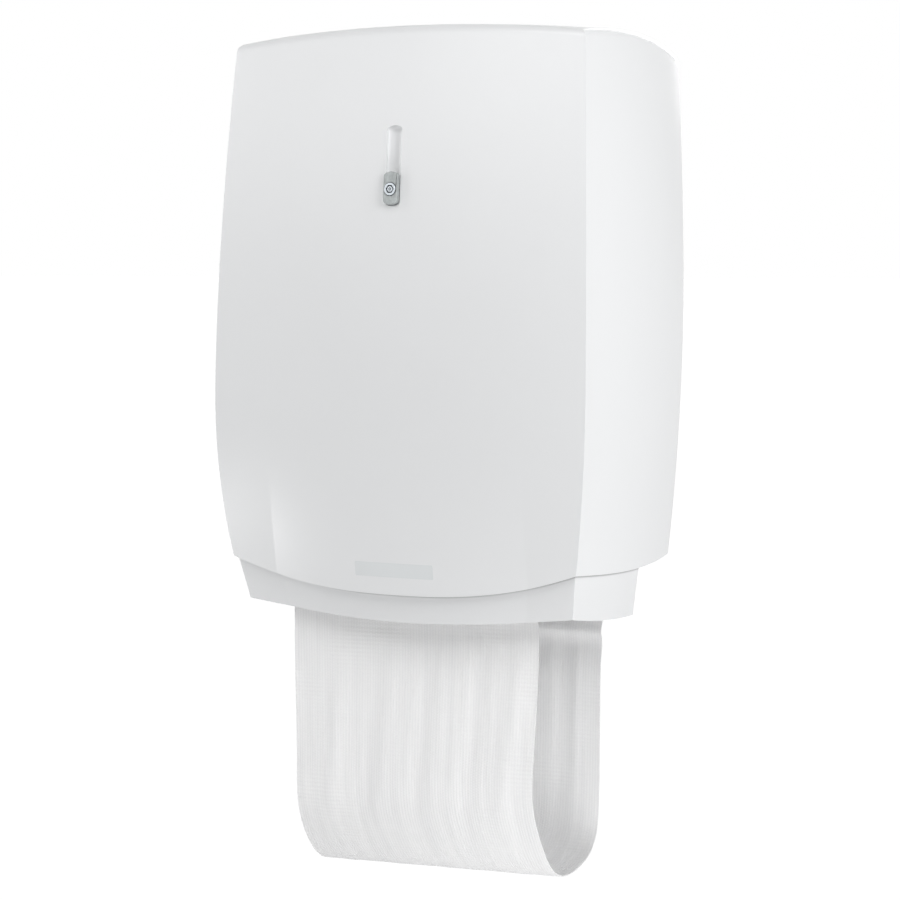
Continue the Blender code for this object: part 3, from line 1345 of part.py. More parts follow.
def make_pressure_bracket(finish):
    """Two side levers joined by a bar above the roller."""
    roller, turn = (PRESS_Y, FEED_Z), (BRACKET_PIVOT_Y, BRACKET_PIVOT_Z)
    pivot = (0, *turn)
    end = BRACKET_IN + BRACKET_WALL / 2
    radius = BRACKET_HALF_WIDTH
    bm = bmesh.new()
    add_box(bm, (-end, BRACKET_BAR_FRONT, BRACKET_BAR_FOOT),
            (end, BRACKET_BAR_FRONT + BRACKET_BAR_WALL, BRACKET_BAR_HEAD))
    bracket = solid("pressure_bracket", bm, finish, pivot)
    arms = (("lever", roller, turn), ("tail", turn, (BRACKET_TAIL_Y, BRACKET_TAIL_Z)))
    for side, word in SIDES:
        low, high = sorted((side * BRACKET_IN, side * (BRACKET_IN + BRACKET_WALL)))
        for part, start, stop in arms:
            lever = bmesh.new()
            add_prism(lever, link(start, radius + GAP, stop, radius), "X", low, high)
            join(bracket, solid("bracket_" + part + "_" + word, lever, None, pivot))
        bores = [(*roller, PRESS_SHAFT_RADIUS + GAP), (*turn, BRACKET_PIN_RADIUS + GAP)]
        cut(bracket, hole_tool("bracket_bores_" + word, bores, "X", low - BORE_OVERRUN, high + BORE_OVERRUN))
    return bracket


def make_bracket_pins(finish):
    """Pins through the frame and the levers, headed on both ends."""
    for side, word in SIDES:
        head = BRACKET_PIN_RADIUS + HEAD_LIP
        profile = headed_pin(BRACKET_IN - GAP, FRAME_OUT + GAP, BRACKET_PIN_RADIUS, head)
        profile[0] = (BRACKET_IN - GAP - HEAD_WALL / 2, profile[0][1])
        bm = bmesh.new()
        add_turned(bm, [(side * along, radius) for along, radius in profile],
                   (0, BRACKET_PIVOT_Y, BRACKET_PIVOT_Z), SMALL_STEPS)
        solid("bracket_pin_" + word, bm, finish)


def make_pressure_spring(side, name, finish):
    x = side * (BRACKET_IN + BRACKET_WALL / 2 + GAP)
    y = BRACKET_TAIL_Y + BRACKET_HALF_WIDTH + GAP
    return coil(name, (x, y, BRACKET_TAIL_Z), (0, 1, 0), PRESS_SPRING_LENGTH, PRESS_SPRING_RADIUS,
                PRESS_SPRING_WIRE, PRESS_SPRING_TURNS, finish)


def make_guide_rod(finish):
    """Rod the used run slides over, with a screw end in each side frame."""
    end = FRAME_IN - GAP
    tip = FRAME_OUT + SCREW_TIP
    profile = [(-tip, SCREW_RADIUS), (-end, SCREW_RADIUS), (-end, GUIDE_RADIUS), (end, GUIDE_RADIUS),
               (end, SCREW_RADIUS), (tip, SCREW_RADIUS)]
    bm = bmesh.new()
    add_turned(bm, profile, (0, GUIDE_Y, GUIDE_Z), SMALL_STEPS)
    return solid("guide_rod", bm, finish, (0, GUIDE_Y, GUIDE_Z))


# Towel


def tangent_point(start, start_radius, end, end_radius, side):
    """Touching point on the first circle of the outer tangent on the given side of start to end."""
    run = Vector(end) - Vector(start)
    lean = math.acos((start_radius - end_radius) / run.length)
    turn = math.atan2(run.y, run.x) + side * lean
    return (start[0] + start_radius * math.cos(turn), start[1] + start_radius * math.sin(turn))


def cloth_path(level):
    """Middle line of the cloth in (Y, Z): clean roll, nip, loop, guide rod, used roll."""
    skin = GAP + TOWEL_THICKNESS / 2
    clean, feed = (CLEAN_Y, CLEAN_Z), (FEED_Y, FEED_Z)
    used, guide = (TAKEUP_Y, TAKEUP_Z), (GUIDE_Y, GUIDE_Z)
    radius = (BACK_RUN_Y - FRONT_RUN_Y) / 2
    middle = (BACK_RUN_Y + FRONT_RUN_Y) / 2
    centre_z = LOOP_CENTRE_Z - level
    path = [tangent_point(clean, CLEAN_ROLL_RADIUS + skin, feed, FEED_RADIUS + skin, -1)]
    leave = tangent_point(feed, FEED_RADIUS + skin, clean, CLEAN_ROLL_RADIUS + skin, 1)
    path += [((path[0][0] + leave[0]) / 2, (path[0][1] + leave[1]) / 2), leave]
    path.append((FRONT_RUN_Y, FEED_Z - FEED_RADIUS))
    for share in FRONT_RUN_SHARES:
        path.append((FRONT_RUN_Y, FEED_Z - FEED_RADIUS + (centre_z - FEED_Z + FEED_RADIUS) * share))
    for index in range(TOWEL_ARC_STEPS + 1):
        turn = math.pi + math.pi * index / TOWEL_ARC_STEPS
        path.append((middle + radius * math.cos(turn), centre_z + radius * math.sin(turn)))
    for share in BACK_RUN_SHARES:
        path.append((BACK_RUN_Y, centre_z + (TOWEL_CREASE_Z - centre_z) * share))
    guide_y = GUIDE_Y + GUIDE_RADIUS + skin
    path.append((guide_y, TOWEL_CREASE_Z + TOWEL_CREASE_RISE))
    path.append((guide_y, GUIDE_Z))
    path.append(tangent_point(guide, GUIDE_RADIUS + skin, used, USED_ROLL_RADIUS + skin, -1))
    path.append(tangent_point(used, USED_ROLL_RADIUS + skin, guide, GUIDE_RADIUS + skin, 1))
    return path


def ripple(x_share, z):
    """Soft upright folds, growing below the skirt."""
    depth = min(max((RIPPLE_START_Z - z) / RIPPLE_GROW, 0.0), 1.0)
    return RIPPLE_DEPTH * depth * math.sin(math.tau * RIPPLE_COUNT * x_share)


def cloth_rows():
    """Two skins of the cloth as rows of points, one row for each step of the path."""
    columns = []
    for column in range(TOWEL_COLUMNS + 1):
        x_share = column / TOWEL_COLUMNS
        path = cloth_path(LOOP_SIDE_DROP * (1 - x_share))
        places = []
        for index, place in enumerate(path):
            before = path[max(index - 1, 0)]
            after = path[min(index + 1, len(path) - 1)]
            run = (Vector(after) - Vector(before)).normalized()
            normal = Vector((-run.y, run.x))
            wave = ripple(x_share, place[1])
            x = TOWEL_WIDTH * (x_share - 1 / 2)
            skins = [Vector(place) + normal * (wave + sign * TOWEL_THICKNESS / 2) for sign in (-1, 1)]
            places.append([(x, skin.x, skin.y) for skin in skins])
        columns.append(places)
    return columns


def make_towel(finish):
    columns = cloth_rows()
    bm = bmesh.new()
    skins = []
    for skin in (0, 1):
        grid = [[bm.verts.new(place[skin]) for place in places] for places in columns]
        add_sheet(bm, grid)
        skins.append(grid)
    inner, outer = skins
    for edge in (0, -1):
        add_sheet(bm, [inner[edge], outer[edge]])
        add_sheet(bm, [[column[edge] for column in inner], [column[edge] for column in outer]])
    return solid("towel", bm, finish)


def build_frame(finishes):
    grey, steel = finishes["frame_grey"], finishes["steel"]
    make_back_plate(grey)
    make_side_frame(-1, "side_frame_left", grey)
    make_side_frame(1, "side_frame_right", grey)
    make_frame_screws(steel)
    make_tie_bar(steel)
    make_tie_screws(steel)
    make_guide_rod(steel)
    make_skirt(finishes["cover_white"])
    make_skirt_screws(steel)


def build_cover(finishes):
    slot_frame = make_slot_frame()
    make_front_cover(finishes["cover_white"], slot_frame)
    make_hinge_arm(-1, "hinge_arm_left", finishes["frame_grey"])
    make_hinge_arm(1, "hinge_arm_right", finishes["frame_grey"])
    make_hinge_pins(finishes["steel"])
    make_lock_slider(finishes["slider_silver"], slot_frame)
    make_lock_cylinder(finishes["lock_metal"], slot_frame)


def build_clean_roll(finishes):
    centre = (CLEAN_Y, CLEAN_Z)
    edge = TOWEL_WIDTH / 2
    core_end = edge + CORE_OVERHANG
    make_tube("clean_roll", centre, -edge, edge, CLEAN_ROLL_RADIUS, CORE_RADIUS + GAP,
              finishes["cloth"], FINE_STEPS)
    make_tube("clean_core", centre, -core_end, core_end, CORE_RADIUS, CORE_RADIUS - CORE_WALL,
              finishes["core_board"])
    make_roll_hub_fixed(finishes["acetal_white"])
    make_roll_hub_sprung(finishes["acetal_white"])
    make_hub_housing(finishes["frame_grey"])
    make_hub_spring(finishes["steel"])


def build_feed(finishes):
    steel, acetal, rubber = finishes["steel"], finishes["acetal_white"], finishes["roller_rubber"]
    edge = TOWEL_WIDTH / 2
    make_tube("feed_roller", (FEED_Y, FEED_Z), -edge, edge, FEED_RADIUS, SHAFT_RADIUS + GAP,
              rubber, FINE_STEPS)
    make_feed_shaft(steel)
    make_shaft_bushes(acetal)
    make_gear_train(acetal)
    make_idler_pin(steel)
    make_ratchet_wheel(acetal)
    make_pawl(steel)
    make_pawl_pin(steel)
    make_pressure_roller(rubber)
    make_pressure_shaft(steel)
    make_pressure_bracket(steel)
    make_bracket_pins(steel)
    make_pressure_spring(-1, "pressure_spring_left", steel)
    make_pressure_spring(1, "pressure_spring_right", steel)


def build_takeup(finishes):
    edge = TOWEL_WIDTH / 2 - USED_ROLL_INSET
    make_takeup_spindle(finishes["steel"])
    make_tube("used_roll", (TAKEUP_Y, TAKEUP_Z), -edge, edge, USED_ROLL_RADIUS,
              TAKEUP_BARREL_RADIUS + GAP, finishes["used_cloth"], FINE_STEPS)


def build():
    clear_scene()
    finishes = {name: material(name, *look) for name, look in FINISHES.items()}
    build_frame(finishes)
    build_cover(finishes)
    build_clean_roll(finishes)
    build_feed(finishes)
    build_takeup(finishes)
    make_towel(finishes["cloth"])


build()
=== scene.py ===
# %% [markdown]
# # A wall cabinet for a continuous cloth roll towel
# The real object hangs on a washroom wall. A clean roll of woven cotton feeds a loop that hangs out
# below, and the used cloth is wound up again inside. The measured model gives every rigid part its
# place; this lesson gives the parts their surfaces, their soft edges and their cloth.

# %% Load the measured model
import json
import math
from contextlib import contextmanager

import bmesh
import bpy
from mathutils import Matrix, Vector


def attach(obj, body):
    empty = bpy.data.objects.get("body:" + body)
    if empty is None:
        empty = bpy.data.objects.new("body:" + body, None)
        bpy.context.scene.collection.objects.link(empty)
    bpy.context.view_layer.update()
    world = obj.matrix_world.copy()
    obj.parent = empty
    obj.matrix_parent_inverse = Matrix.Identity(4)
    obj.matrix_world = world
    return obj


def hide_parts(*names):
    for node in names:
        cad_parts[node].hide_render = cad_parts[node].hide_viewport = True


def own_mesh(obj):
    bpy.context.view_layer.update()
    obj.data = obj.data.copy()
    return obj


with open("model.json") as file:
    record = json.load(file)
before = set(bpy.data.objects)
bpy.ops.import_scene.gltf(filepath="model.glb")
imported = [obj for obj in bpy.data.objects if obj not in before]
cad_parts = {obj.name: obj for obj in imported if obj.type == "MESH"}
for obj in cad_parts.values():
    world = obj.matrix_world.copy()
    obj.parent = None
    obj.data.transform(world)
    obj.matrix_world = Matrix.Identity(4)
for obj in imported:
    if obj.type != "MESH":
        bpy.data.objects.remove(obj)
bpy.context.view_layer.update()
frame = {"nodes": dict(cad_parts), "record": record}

# %% [markdown]
# ## The view
# The photograph looks at the cabinet from its right, a little from above, from about two metres.
# A long lens keeps the upright edges nearly parallel. The camera could be placed by eye, but the
# corners of the cover fix its angle and its distance, so those numbers are used.

# %% Camera
AZIMUTH = math.radians(26.0)
PITCH = math.radians(4.45)
TARGET = Vector((0.049, -0.200, -0.111))
DISTANCE = 2.097
FOCAL_PIXELS = 2405.0
FRAME_PIXELS = 900.0
SENSOR = 36.0

toward_camera = Vector((math.sin(AZIMUTH) * math.cos(PITCH), -math.cos(AZIMUTH) * math.cos(PITCH),
                        math.sin(PITCH)))


def linked(name, data):
    """A new object in the scene."""
    piece = bpy.data.objects.new(name, data)
    bpy.context.scene.collection.objects.link(piece)
    return piece


camera_data = bpy.data.cameras.new("photo_camera")
camera_data.lens = FOCAL_PIXELS / FRAME_PIXELS * SENSOR
camera_data.sensor_width = SENSOR
camera = linked("photo_camera", camera_data)
camera.location = TARGET + toward_camera * DISTANCE
camera.rotation_euler = (-toward_camera).to_track_quat("-Z", "Y").to_euler()
bpy.context.scene.camera = camera
print("camera at", tuple(round(value, 3) for value in camera.location))

# %% [markdown]
# ## Writing shader maths
# A material is a graph of nodes. Drawn by hand, a formula such as "ribs times wear" takes many
# clicks, so a small class wraps an output socket: adding or multiplying two of them adds the Math
# node that does it. A second class holds the graph and adds every other kind of node.

# %% Sockets that can be added and multiplied
class Wire:
    """An output socket of a node, whose arithmetic adds Math nodes."""

    def __init__(self, graph, socket):
        self.graph = graph
        self.socket = socket

    def maths(self, operation, first, second=0.0):
        return self.graph.node("ShaderNodeMath", {"operation": operation}, {0: first, 1: second})

    def __add__(self, other):
        return self.maths("ADD", self, other)

    def __sub__(self, other):
        return self.maths("SUBTRACT", self, other)

    def __rsub__(self, other):
        return self.maths("SUBTRACT", other, self)

    def __mul__(self, other):
        return self.maths("MULTIPLY", self, other)

    def sine(self):
        return self.maths("SINE", self)

    def floor(self):
        return self.maths("FLOOR", self)

    def either(self, other):
        return self.maths("MAXIMUM", self, other)


class Graph:
    """The nodes of a material or of the world."""

    def __init__(self, tree):
        self.tree = tree

    def node(self, kind, settings, sockets, output=0):
        made = self.tree.nodes.new(kind)
        for label, value in settings.items():
            setattr(made, label, value)
        for label, value in sockets.items():
            self.feed(made.inputs[label], value)
        return Wire(self, made.outputs[output])

    def feed(self, socket, value):
        if isinstance(value, Wire):
            self.tree.links.new(value.socket, socket)
        else:
            socket.default_value = value


# %% [markdown]
# ## Building one finish
# Every finish starts as the Principled shader with its constant values. What varies over the
# surface is worked out from the object's own coordinates and fed in at the end, so that a new
# finish is a few readable lines.

# %% Materials
class Finish(Graph):
    """A material under construction, from its shader's constant values up."""

    def __init__(self, name, **constants):
        self.material = bpy.data.materials.new(name)
        self.material.use_nodes = True
        super().__init__(self.material.node_tree)
        self.shader = self.tree.nodes["Principled BSDF"]
        for label, value in constants.items():
            self.shader.inputs[label.replace("_", " ")].default_value = value

    def place(self):
        return self.node("ShaderNodeTexCoord", {}, {}, "Object")

    def axes(self, vector):
        split = self.node("ShaderNodeSeparateXYZ", {}, {"Vector": vector})
        return [Wire(self, output) for output in split.socket.node.outputs]

    def stretched(self, scale):
        return self.node("ShaderNodeMapping", {}, {"Vector": self.place(), "Scale": scale})

    def noise(self, scale, detail=3.0, vector=None):
        sockets = {"Vector": vector or self.place(), "Scale": scale, "Detail": detail}
        return self.node("ShaderNodeTexNoise", {}, sockets)

    def band(self, value, low, high, start=0.0, end=1.0):
        return self.node("ShaderNodeMapRange", {}, {
            "Value": value, "From Min": low, "From Max": high, "To Min": start, "To Max": end})

    def blend(self, factor, first, second):
        sockets = {0: factor, 6: first, 7: second}
        return self.node("ShaderNodeMix", {"data_type": "RGBA"}, sockets, 2)

    def bump(self, height, distance, strength=1.0):
        sockets = {"Height": height, "Distance": distance, "Strength": strength}
        return self.node("ShaderNodeBump", {}, sockets)

    def wear(self, **sockets):
        for label, value in sockets.items():
            self.feed(self.shader.inputs[label.replace("_", " ")], value)
        return self.material


def tone(red, green, blue):
    """A colour as it reads on a screen, from 0 to 255, in linear values."""
    linear = []
    for level in (red, green, blue):
        share = level / 255
        linear.append(share / 12.92 if share <= 0.04045 else ((share + 0.055) / 1.055) ** 2.4)
    return (*linear, 1.0)


print("white reads", [round(value, 3) for value in tone(233, 235, 235)])

# %% [markdown]
# ## White moulded plastic
# The cover and the skirt are satin plastic from a spark-eroded mould: an even, very fine orange
# peel that keeps highlights soft. Cloudy roughness breaks the reflections up a little, and the
# colour drifts by about one percent. A plain colour would look like paper.

# %% Cover plastic
def moulded_plastic(name, colour, roughness, grain, cloud, painted_shade=None):
    """Satin plastic; the last argument, if given, takes the finish and its unmarked colour and
    paints shade on it.
    """
    finish = Finish(name, Specular_IOR_Level=0.42)
    fine = finish.noise(grain, 2.0)
    drift = finish.noise(cloud, 3.0)
    darker = tuple(value * 0.985 for value in colour[:3]) + (1.0,)
    shade = finish.blend(finish.band(drift, 0.2, 0.8), darker, colour)
    # A given mark paints shade into the colour.
    if painted_shade:
        shade = painted_shade(finish, shade)
    mottle = finish.noise(cloud * 3, 1.0)
    gloss = finish.band(mottle, 0.1, 0.9, roughness - 0.012, roughness + 0.012)
    return finish.wear(Base_Color=shade, Roughness=gloss, Normal=finish.bump(fine, 0.00004, 0.6))


COVER_WHITE = moulded_plastic("satin_white_plastic", tone(235, 236, 237), 0.30, 1500.0, 9.0)
FRAME_GREY = moulded_plastic("moulded_grey_plastic", tone(202, 205, 207), 0.50, 900.0, 14.0)
ACETAL_WHITE = moulded_plastic("white_gear_plastic", tone(232, 232, 226), 0.34, 1800.0, 30.0)
print("plastics:", COVER_WHITE.name, FRAME_GREY.name, ACETAL_WHITE.name)

# %% [markdown]
# ## Metals
# Screws, pins, springs and shafts are zinc-plated steel: bright, with drawn lines along them and
# faint cloudy plating. The lock slider is die-cast zinc, blasted dull, so it mottles. The lock
# itself is turned nickel and shines more, with shade painted dark into its ring and key recess.

# %% Metal finishes
RECESS_PLACE = Vector((0.0, -0.2122, 0.136))
RECESS_TILT = math.radians(5.4)


def plated_metal(name, colour, roughness, stretch, spread, depth, metallic=0.97, hollow=None):
    finish = Finish(name)
    lines = finish.noise(1.0, 4.0, finish.stretched(stretch))
    cloud = finish.noise(180.0, 3.0)
    dull = tuple(value * (1 - spread) for value in colour[:3]) + (1.0,)
    mix = finish.band(lines * 0.5 + cloud * 0.5, 0.38, 0.62)
    shade = finish.blend(mix, dull, colour)
    # A given mask paints shade: dark grey in the hollows that it marks.
    if hollow:
        shade = finish.blend(hollow(finish), shade, tone(52, 54, 60))
    gloss = finish.band(lines, 0.3, 0.7, roughness - 0.06, roughness + 0.08)
    metal = finish.band(cloud, 0.2, 0.8, metallic, metallic + 0.03)
    return finish.wear(Base_Color=shade, Roughness=gloss, Metallic=metal,
                       Normal=finish.bump(lines, depth, 0.5))


def painted_lock_shade(finish):
    """Where shade is painted: 1 in the lock's ring and key recess, which lie behind its face, and 0
    on the face.
    """
    _, back, up = finish.axes(finish.place())
    out = (back - RECESS_PLACE.y) * math.cos(RECESS_TILT)
    depth = out - (up - RECESS_PLACE.z) * math.sin(RECESS_TILT)
    return finish.band(depth, -0.0044, -0.0037)


STEEL = plated_metal("zinc_plated_steel", tone(190, 193, 196), 0.30,
                     (60.0, 900.0, 900.0), 0.18, 0.00003)
SLIDER_SILVER = plated_metal("blasted_zinc", tone(178, 183, 183), 0.50,
                             (700.0, 700.0, 400.0), 0.30, 0.00006, metallic=0.15)
# The lock gets painted shade in its ring and key recess.
LOCK_METAL = plated_metal("turned_nickel", tone(186, 192, 197), 0.36,
                          (1600.0, 400.0, 1600.0), 0.14, 0.00002, metallic=0.7, hollow=painted_lock_shade)
print("metals:", STEEL.name, SLIDER_SILVER.name, LOCK_METAL.name)

# %% [markdown]
# ## Rubber
# The feed and pressure rollers are sleeved in grey rubber with fine turned grooves that grip the
# cloth. The grooves are a sine wave along the roller: too fine to be worth a mesh.

# %% Rubber
GROOVE_PITCH = 0.0025


def ribbed_rubber():
    finish = Finish("grooved_rubber")
    across = finish.axes(finish.place())[0]
    groove = (across * (math.tau / GROOVE_PITCH)).sine()
    dust = finish.noise(220.0, 4.0)
    shade = finish.blend(finish.band(dust, 0.45, 0.75), tone(88, 90, 92), tone(124, 126, 128))
    gloss = finish.band(dust, 0.3, 0.7, 0.60, 0.78)
    return finish.wear(Base_Color=shade, Roughness=gloss, Normal=finish.bump(groove, 0.0002, 0.8))


ROLLER_RUBBER = ribbed_rubber()
print("rollers:", ROLLER_RUBBER.name)

# %% [markdown]
# ## Board
# The clean roll is wound on a board tube: strips of grey-brown paper laid in a spiral, so its
# fibres run along the tube and a seam climbs round it.

# %% Board tube
SEAM_PITCH = 0.060


def wound_board():
    finish = Finish("wound_board_tube")
    across, _, up = finish.axes(finish.place())
    seam = ((across * (math.tau / SEAM_PITCH)) + up * 90.0).sine()
    fibre = finish.noise(1.0, 4.0, finish.stretched((900.0, 2400.0, 2400.0)))
    mix = finish.band(fibre * 0.8 + finish.band(seam, 0.97, 1.0) * 0.3, 0.3, 0.8)
    shade = finish.blend(mix, tone(184, 160, 124), tone(146, 122, 90))
    gloss = finish.band(fibre, 0.3, 0.7, 0.80, 0.92)
    return finish.wear(Base_Color=shade, Roughness=gloss, Normal=finish.bump(fibre, 0.00008, 0.6))


CORE_BOARD = wound_board()
print("core:", CORE_BOARD.name)

# %% [markdown]
# ## Taking a rigid part over
# The measured parts are loose triangles with hard edges. Real mouldings and sheet metal have
# small radii that catch the light, so a part is copied, its doubled corners are merged, its sharp
# edges are bevelled and it is shaded smooth up to a given angle. The measured part stays hidden
# underneath for the motion.

# %% Copy and soften a part
BODY_OF = {node: body for body, nodes in frame["record"]["behaviour"]["bodies"].items()
           for node in nodes}
SLOT_OF = {part["node"]: part["material_slot"] for part in frame["record"]["subparts"]}


def only(piece):
    """Select one object and make it the active one."""
    bpy.ops.object.select_all(action="DESELECT")
    piece.select_set(True)
    bpy.context.view_layer.objects.active = piece


@contextmanager
def editing(piece, action="SELECT"):
    """Edit one object's mesh, with all of it selected, or none of it."""
    only(piece)
    bpy.ops.object.mode_set(mode="EDIT")
    bpy.ops.mesh.select_all(action=action)
    yield
    bpy.ops.object.mode_set(mode="OBJECT")


def apply(piece, kind, **settings):
    """Add one modifier and apply it at once."""
    only(piece)
    change = piece.modifiers.new(kind.lower(), kind)
    for label, value in settings.items():
        setattr(change, label, value)
    bpy.ops.object.modifier_apply(modifier=change.name)


def merged_copy(node, name):
    piece = linked(name, frame["nodes"][node].data.copy())
    with editing(piece):
        bpy.ops.mesh.remove_doubles(threshold=0.00001)
        bpy.ops.mesh.dissolve_limited(angle_limit=math.radians(0.5))
    return piece


def soften(piece, width, angle=30.0):
    """Round the sharp edges, and shade the piece smooth without bending its flat faces."""
    apply(piece, "BEVEL", width=width, segments=2, limit_method="ANGLE",
          angle_limit=math.radians(angle))
    bpy.ops.object.shade_smooth_by_angle(angle=math.radians(angle))
    apply(piece, "WEIGHTED_NORMAL", keep_sharp=True)


def finish_piece(piece, material, *nodes, body=None):
    """Give a piece its material, and let it stand and move for its measured parts."""
    piece.data.materials.clear()
    piece.data.materials.append(material)
    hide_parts(*nodes)
    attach(piece, body or BODY_OF[nodes[0]])
    return piece


print("materials wanted:", sorted(set(SLOT_OF.values())))

# %% [markdown]
# ## The cover's curves
# The cover is one barrel-shaped shell. Its width and its reach swell and shrink with height, and
# its front is a shallow arch. Low down, an upright crease on each side parts a fuller middle from
# a flat facet at the corner, and both fade out upwards. The measured part has such curves in
# coarse steps. A highlight shows every step, so the shell is laid out again from the curves, with
# steps of a few millimetres.

# %% Swelling sizes
FOOT_Z = -0.215
HEAD_Z = 0.2495
ARCH = 0.0115
CREASE_ARCH = 0.0021
FACET_X = 0.1246
FACET_TOP = -0.085
WALL_Y = -0.001


def swell(foot, peak, head, peak_z):
    """A size that grows from the foot to its peak height and shrinks again to the head."""
    def size(z):
        if z < peak_z:
            return peak + (foot - peak) * ((peak_z - z) / (peak_z - FOOT_Z)) ** 2.0
        return peak + (head - peak) * ((z - peak_z) / (HEAD_Z - peak_z)) ** 1.6
    return size


front_half = swell(0.1696, 0.1820, 0.1704, -0.065)
rear_half = swell(0.1768, 0.1900, 0.1828, 0.025)
reach = swell(0.2025, 0.2129, 0.1882, -0.085)


def side_x(share, z, inset=0.0):
    """Half width of a side panel, from its front crease (0) to the wall (1)."""
    bulge = 0.0070 * share ** 1.5 * (1 - share) / 0.186
    return front_half(z) - inset + (rear_half(z) - front_half(z)) * share + bulge


def side_y(share, z, inset=0.0):
    return WALL_Y - (reach(z) - inset + WALL_Y) * (1 - share)


def front_y(x, z, inset=0.0):
    half = front_half(z) - inset
    arch = ARCH * (1 - (x / half) ** 2)
    if z < FACET_TOP:
        fade = ((FACET_TOP - z) / (FACET_TOP - FOOT_Z)) ** 1.5
        if abs(x) < FACET_X:
            creased = CREASE_ARCH + (ARCH - CREASE_ARCH) * (1 - (x / FACET_X) ** 2)
        else:
            creased = CREASE_ARCH * (1 - min((abs(x) - FACET_X) / (half - FACET_X), 1.0))
        arch += fade * (creased - arch)
    return -(reach(z) - inset) - arch


print("widest:", round(2 * side_x(0.6, 0.0), 4), "m")

# %% [markdown]
# ## The cover's outline
# The lower edge dips towards the middle of the front, and the upper edge rises there. Stations are
# set out round the shell, from wall to wall, and each one knows where its own edges run, so rows
# of points can follow both edges without a cut.

# %% Where the shell's edges run
FRONT_STEPS = 60
FACET_STEPS = 14
SIDE_STEPS = 28
CORNER = front_half(FOOT_Z)
# Rows of points this near a crease keep it crisp.
CREASE_EDGE = 0.0010


def seam_z(x_share):
    return FOOT_Z - 0.0255 * (1 - x_share ** 2.5)


def side_foot_z(share):
    return FOOT_Z - 0.0015 * share - 0.005 * math.sin(math.pi * share)


def spots(side_steps=SIDE_STEPS, end_share=1.0):
    """Stations round the shell: left side from the wall, the front, right side to the wall."""
    sides = [end_share * step / side_steps for step in range(1, side_steps + 1)]
    facet = [FACET_X + (CORNER - FACET_X) * step / FACET_STEPS
             for step in range(1, FACET_STEPS + 1)]
    facet.insert(0, FACET_X + CREASE_EDGE)
    middle = [FACET_X * (2 * step / FRONT_STEPS - 1) for step in range(FRONT_STEPS + 1)]
    middle = [-FACET_X, CREASE_EDGE - FACET_X] + middle[1:-1] + [FACET_X - CREASE_EDGE, FACET_X]
    across = [-x for x in reversed(facet)] + middle + facet
    return ([(-1, share) for share in reversed(sides)] + [(0, x) for x in across]
            + [(1, share) for share in sides])


def column(x, half):
    """Where a front station lies at a height where the front is 2 * half wide."""
    if abs(x) <= FACET_X:
        return x
    return math.copysign(FACET_X + (half - FACET_X) * (abs(x) - FACET_X) / (CORNER - FACET_X), x)


def shell_point(spot, z, inset=0.0):
    side, share = spot
    if side:
        return (side * side_x(share, z, inset), side_y(share, z, inset), z)
    x = column(share, front_half(z) - inset)
    return (x, front_y(x, z, inset), z)


def shell_edges(spot):
    side, share = spot
    if side:
        return side_foot_z(share), HEAD_Z + 0.0236 * share - 0.0331 * share ** 2
    x_share = min(abs(share) / CORNER, 1.0)
    return seam_z(x_share), HEAD_Z + 0.0085 * (1 - x_share ** 2)


print("stations round the cover:", len(spots()))

# %% [markdown]
# ## Sheets of points
# Most moulded skins are one smooth sheet. Rows of points are joined into quads, row by row, and
# doubled points are merged, so a corner where rows meet closes by itself.

# %% Sheets of points
def sheet_of(rows, name):
    """One skin of quads through rows of points."""
    shape = bmesh.new()
    grid = [[shape.verts.new(place) for place in row] for row in rows]
    for low, high in zip(grid, grid[1:]):
        for index in range(len(low) - 1):
            shape.faces.new((low[index], low[index + 1], high[index + 1], high[index]))
    bmesh.ops.remove_doubles(shape, verts=shape.verts, dist=0.00001)
    mesh = bpy.data.meshes.new(name)
    shape.to_mesh(mesh)
    shape.free()
    return linked(name, mesh)


# %% [markdown]
# ## The cover
# Rings of points go up the walls and over the rounded top edge, and rows carry the top back to the
# wall. The skin then gets its thickness. It is a little thinner than the measured wall, so that the
# pressure roller has room to swing behind the flatter corners.

# %% Skin of the cover
WALL_RINGS = 64
EDGE_RINGS = 7
EDGE_RADIUS = 0.008
COVER_WALL = 0.0019


def cover_rows():
    around = spots()
    rows = []
    for step in range(WALL_RINGS + 1):
        row = []
        for spot in around:
            foot, head = shell_edges(spot)
            row.append(shell_point(spot, foot + (head - EDGE_RADIUS - foot) * step / WALL_RINGS))
        rows.append(row)
    for step in range(1, EDGE_RINGS + 1):
        turn = math.pi / 2 * step / EDGE_RINGS
        inset, drop = EDGE_RADIUS * (1 - math.cos(turn)), EDGE_RADIUS * (1 - math.sin(turn))
        rows.append([shell_point(spot, shell_edges(spot)[1] - drop, inset) for spot in around])
    return rows


def top_rows(ring):
    """The top, from the front edge back to the wall, between the two sides of the last ring."""
    front = ring[SIDE_STEPS:-SIDE_STEPS]
    rows = [front]
    for step in range(1, SIDE_STEPS + 1):
        left, right = ring[SIDE_STEPS - step], ring[len(ring) - 1 - SIDE_STEPS + step]
        fade = 1 - step / SIDE_STEPS
        row = [left]
        for x, y, z in front[1:-1]:
            row.append((x / front[-1][0] * right[0], right[1] + fade * (y - front[0][1]),
                        right[2] + fade * (z - front[0][2])))
        rows.append(row + [right])
    return rows


walls = cover_rows()
cover = sheet_of(walls, "cover_shell")
top = sheet_of(top_rows(walls[-1]), "cover_top")
only(cover)
top.select_set(True)
bpy.ops.object.join()
with editing(cover):
    bpy.ops.mesh.remove_doubles(threshold=0.00002)
    bpy.ops.mesh.normals_make_consistent(inside=False)
apply(cover, "SOLIDIFY", thickness=COVER_WALL, offset=-1.0, use_even_offset=True)
print("cover skin:", len(cover.data.polygons), "faces")

# %% [markdown]
# ## The lock's recess
# The lock slides in an upright groove with low arched ends. A patch behind the skin carries it, and
# a cutter with a straight mouth and a rounded floor hollows it out, so that the groove shades from
# its lit side to its dark side. Every rim then gets the small radius that a mould leaves.

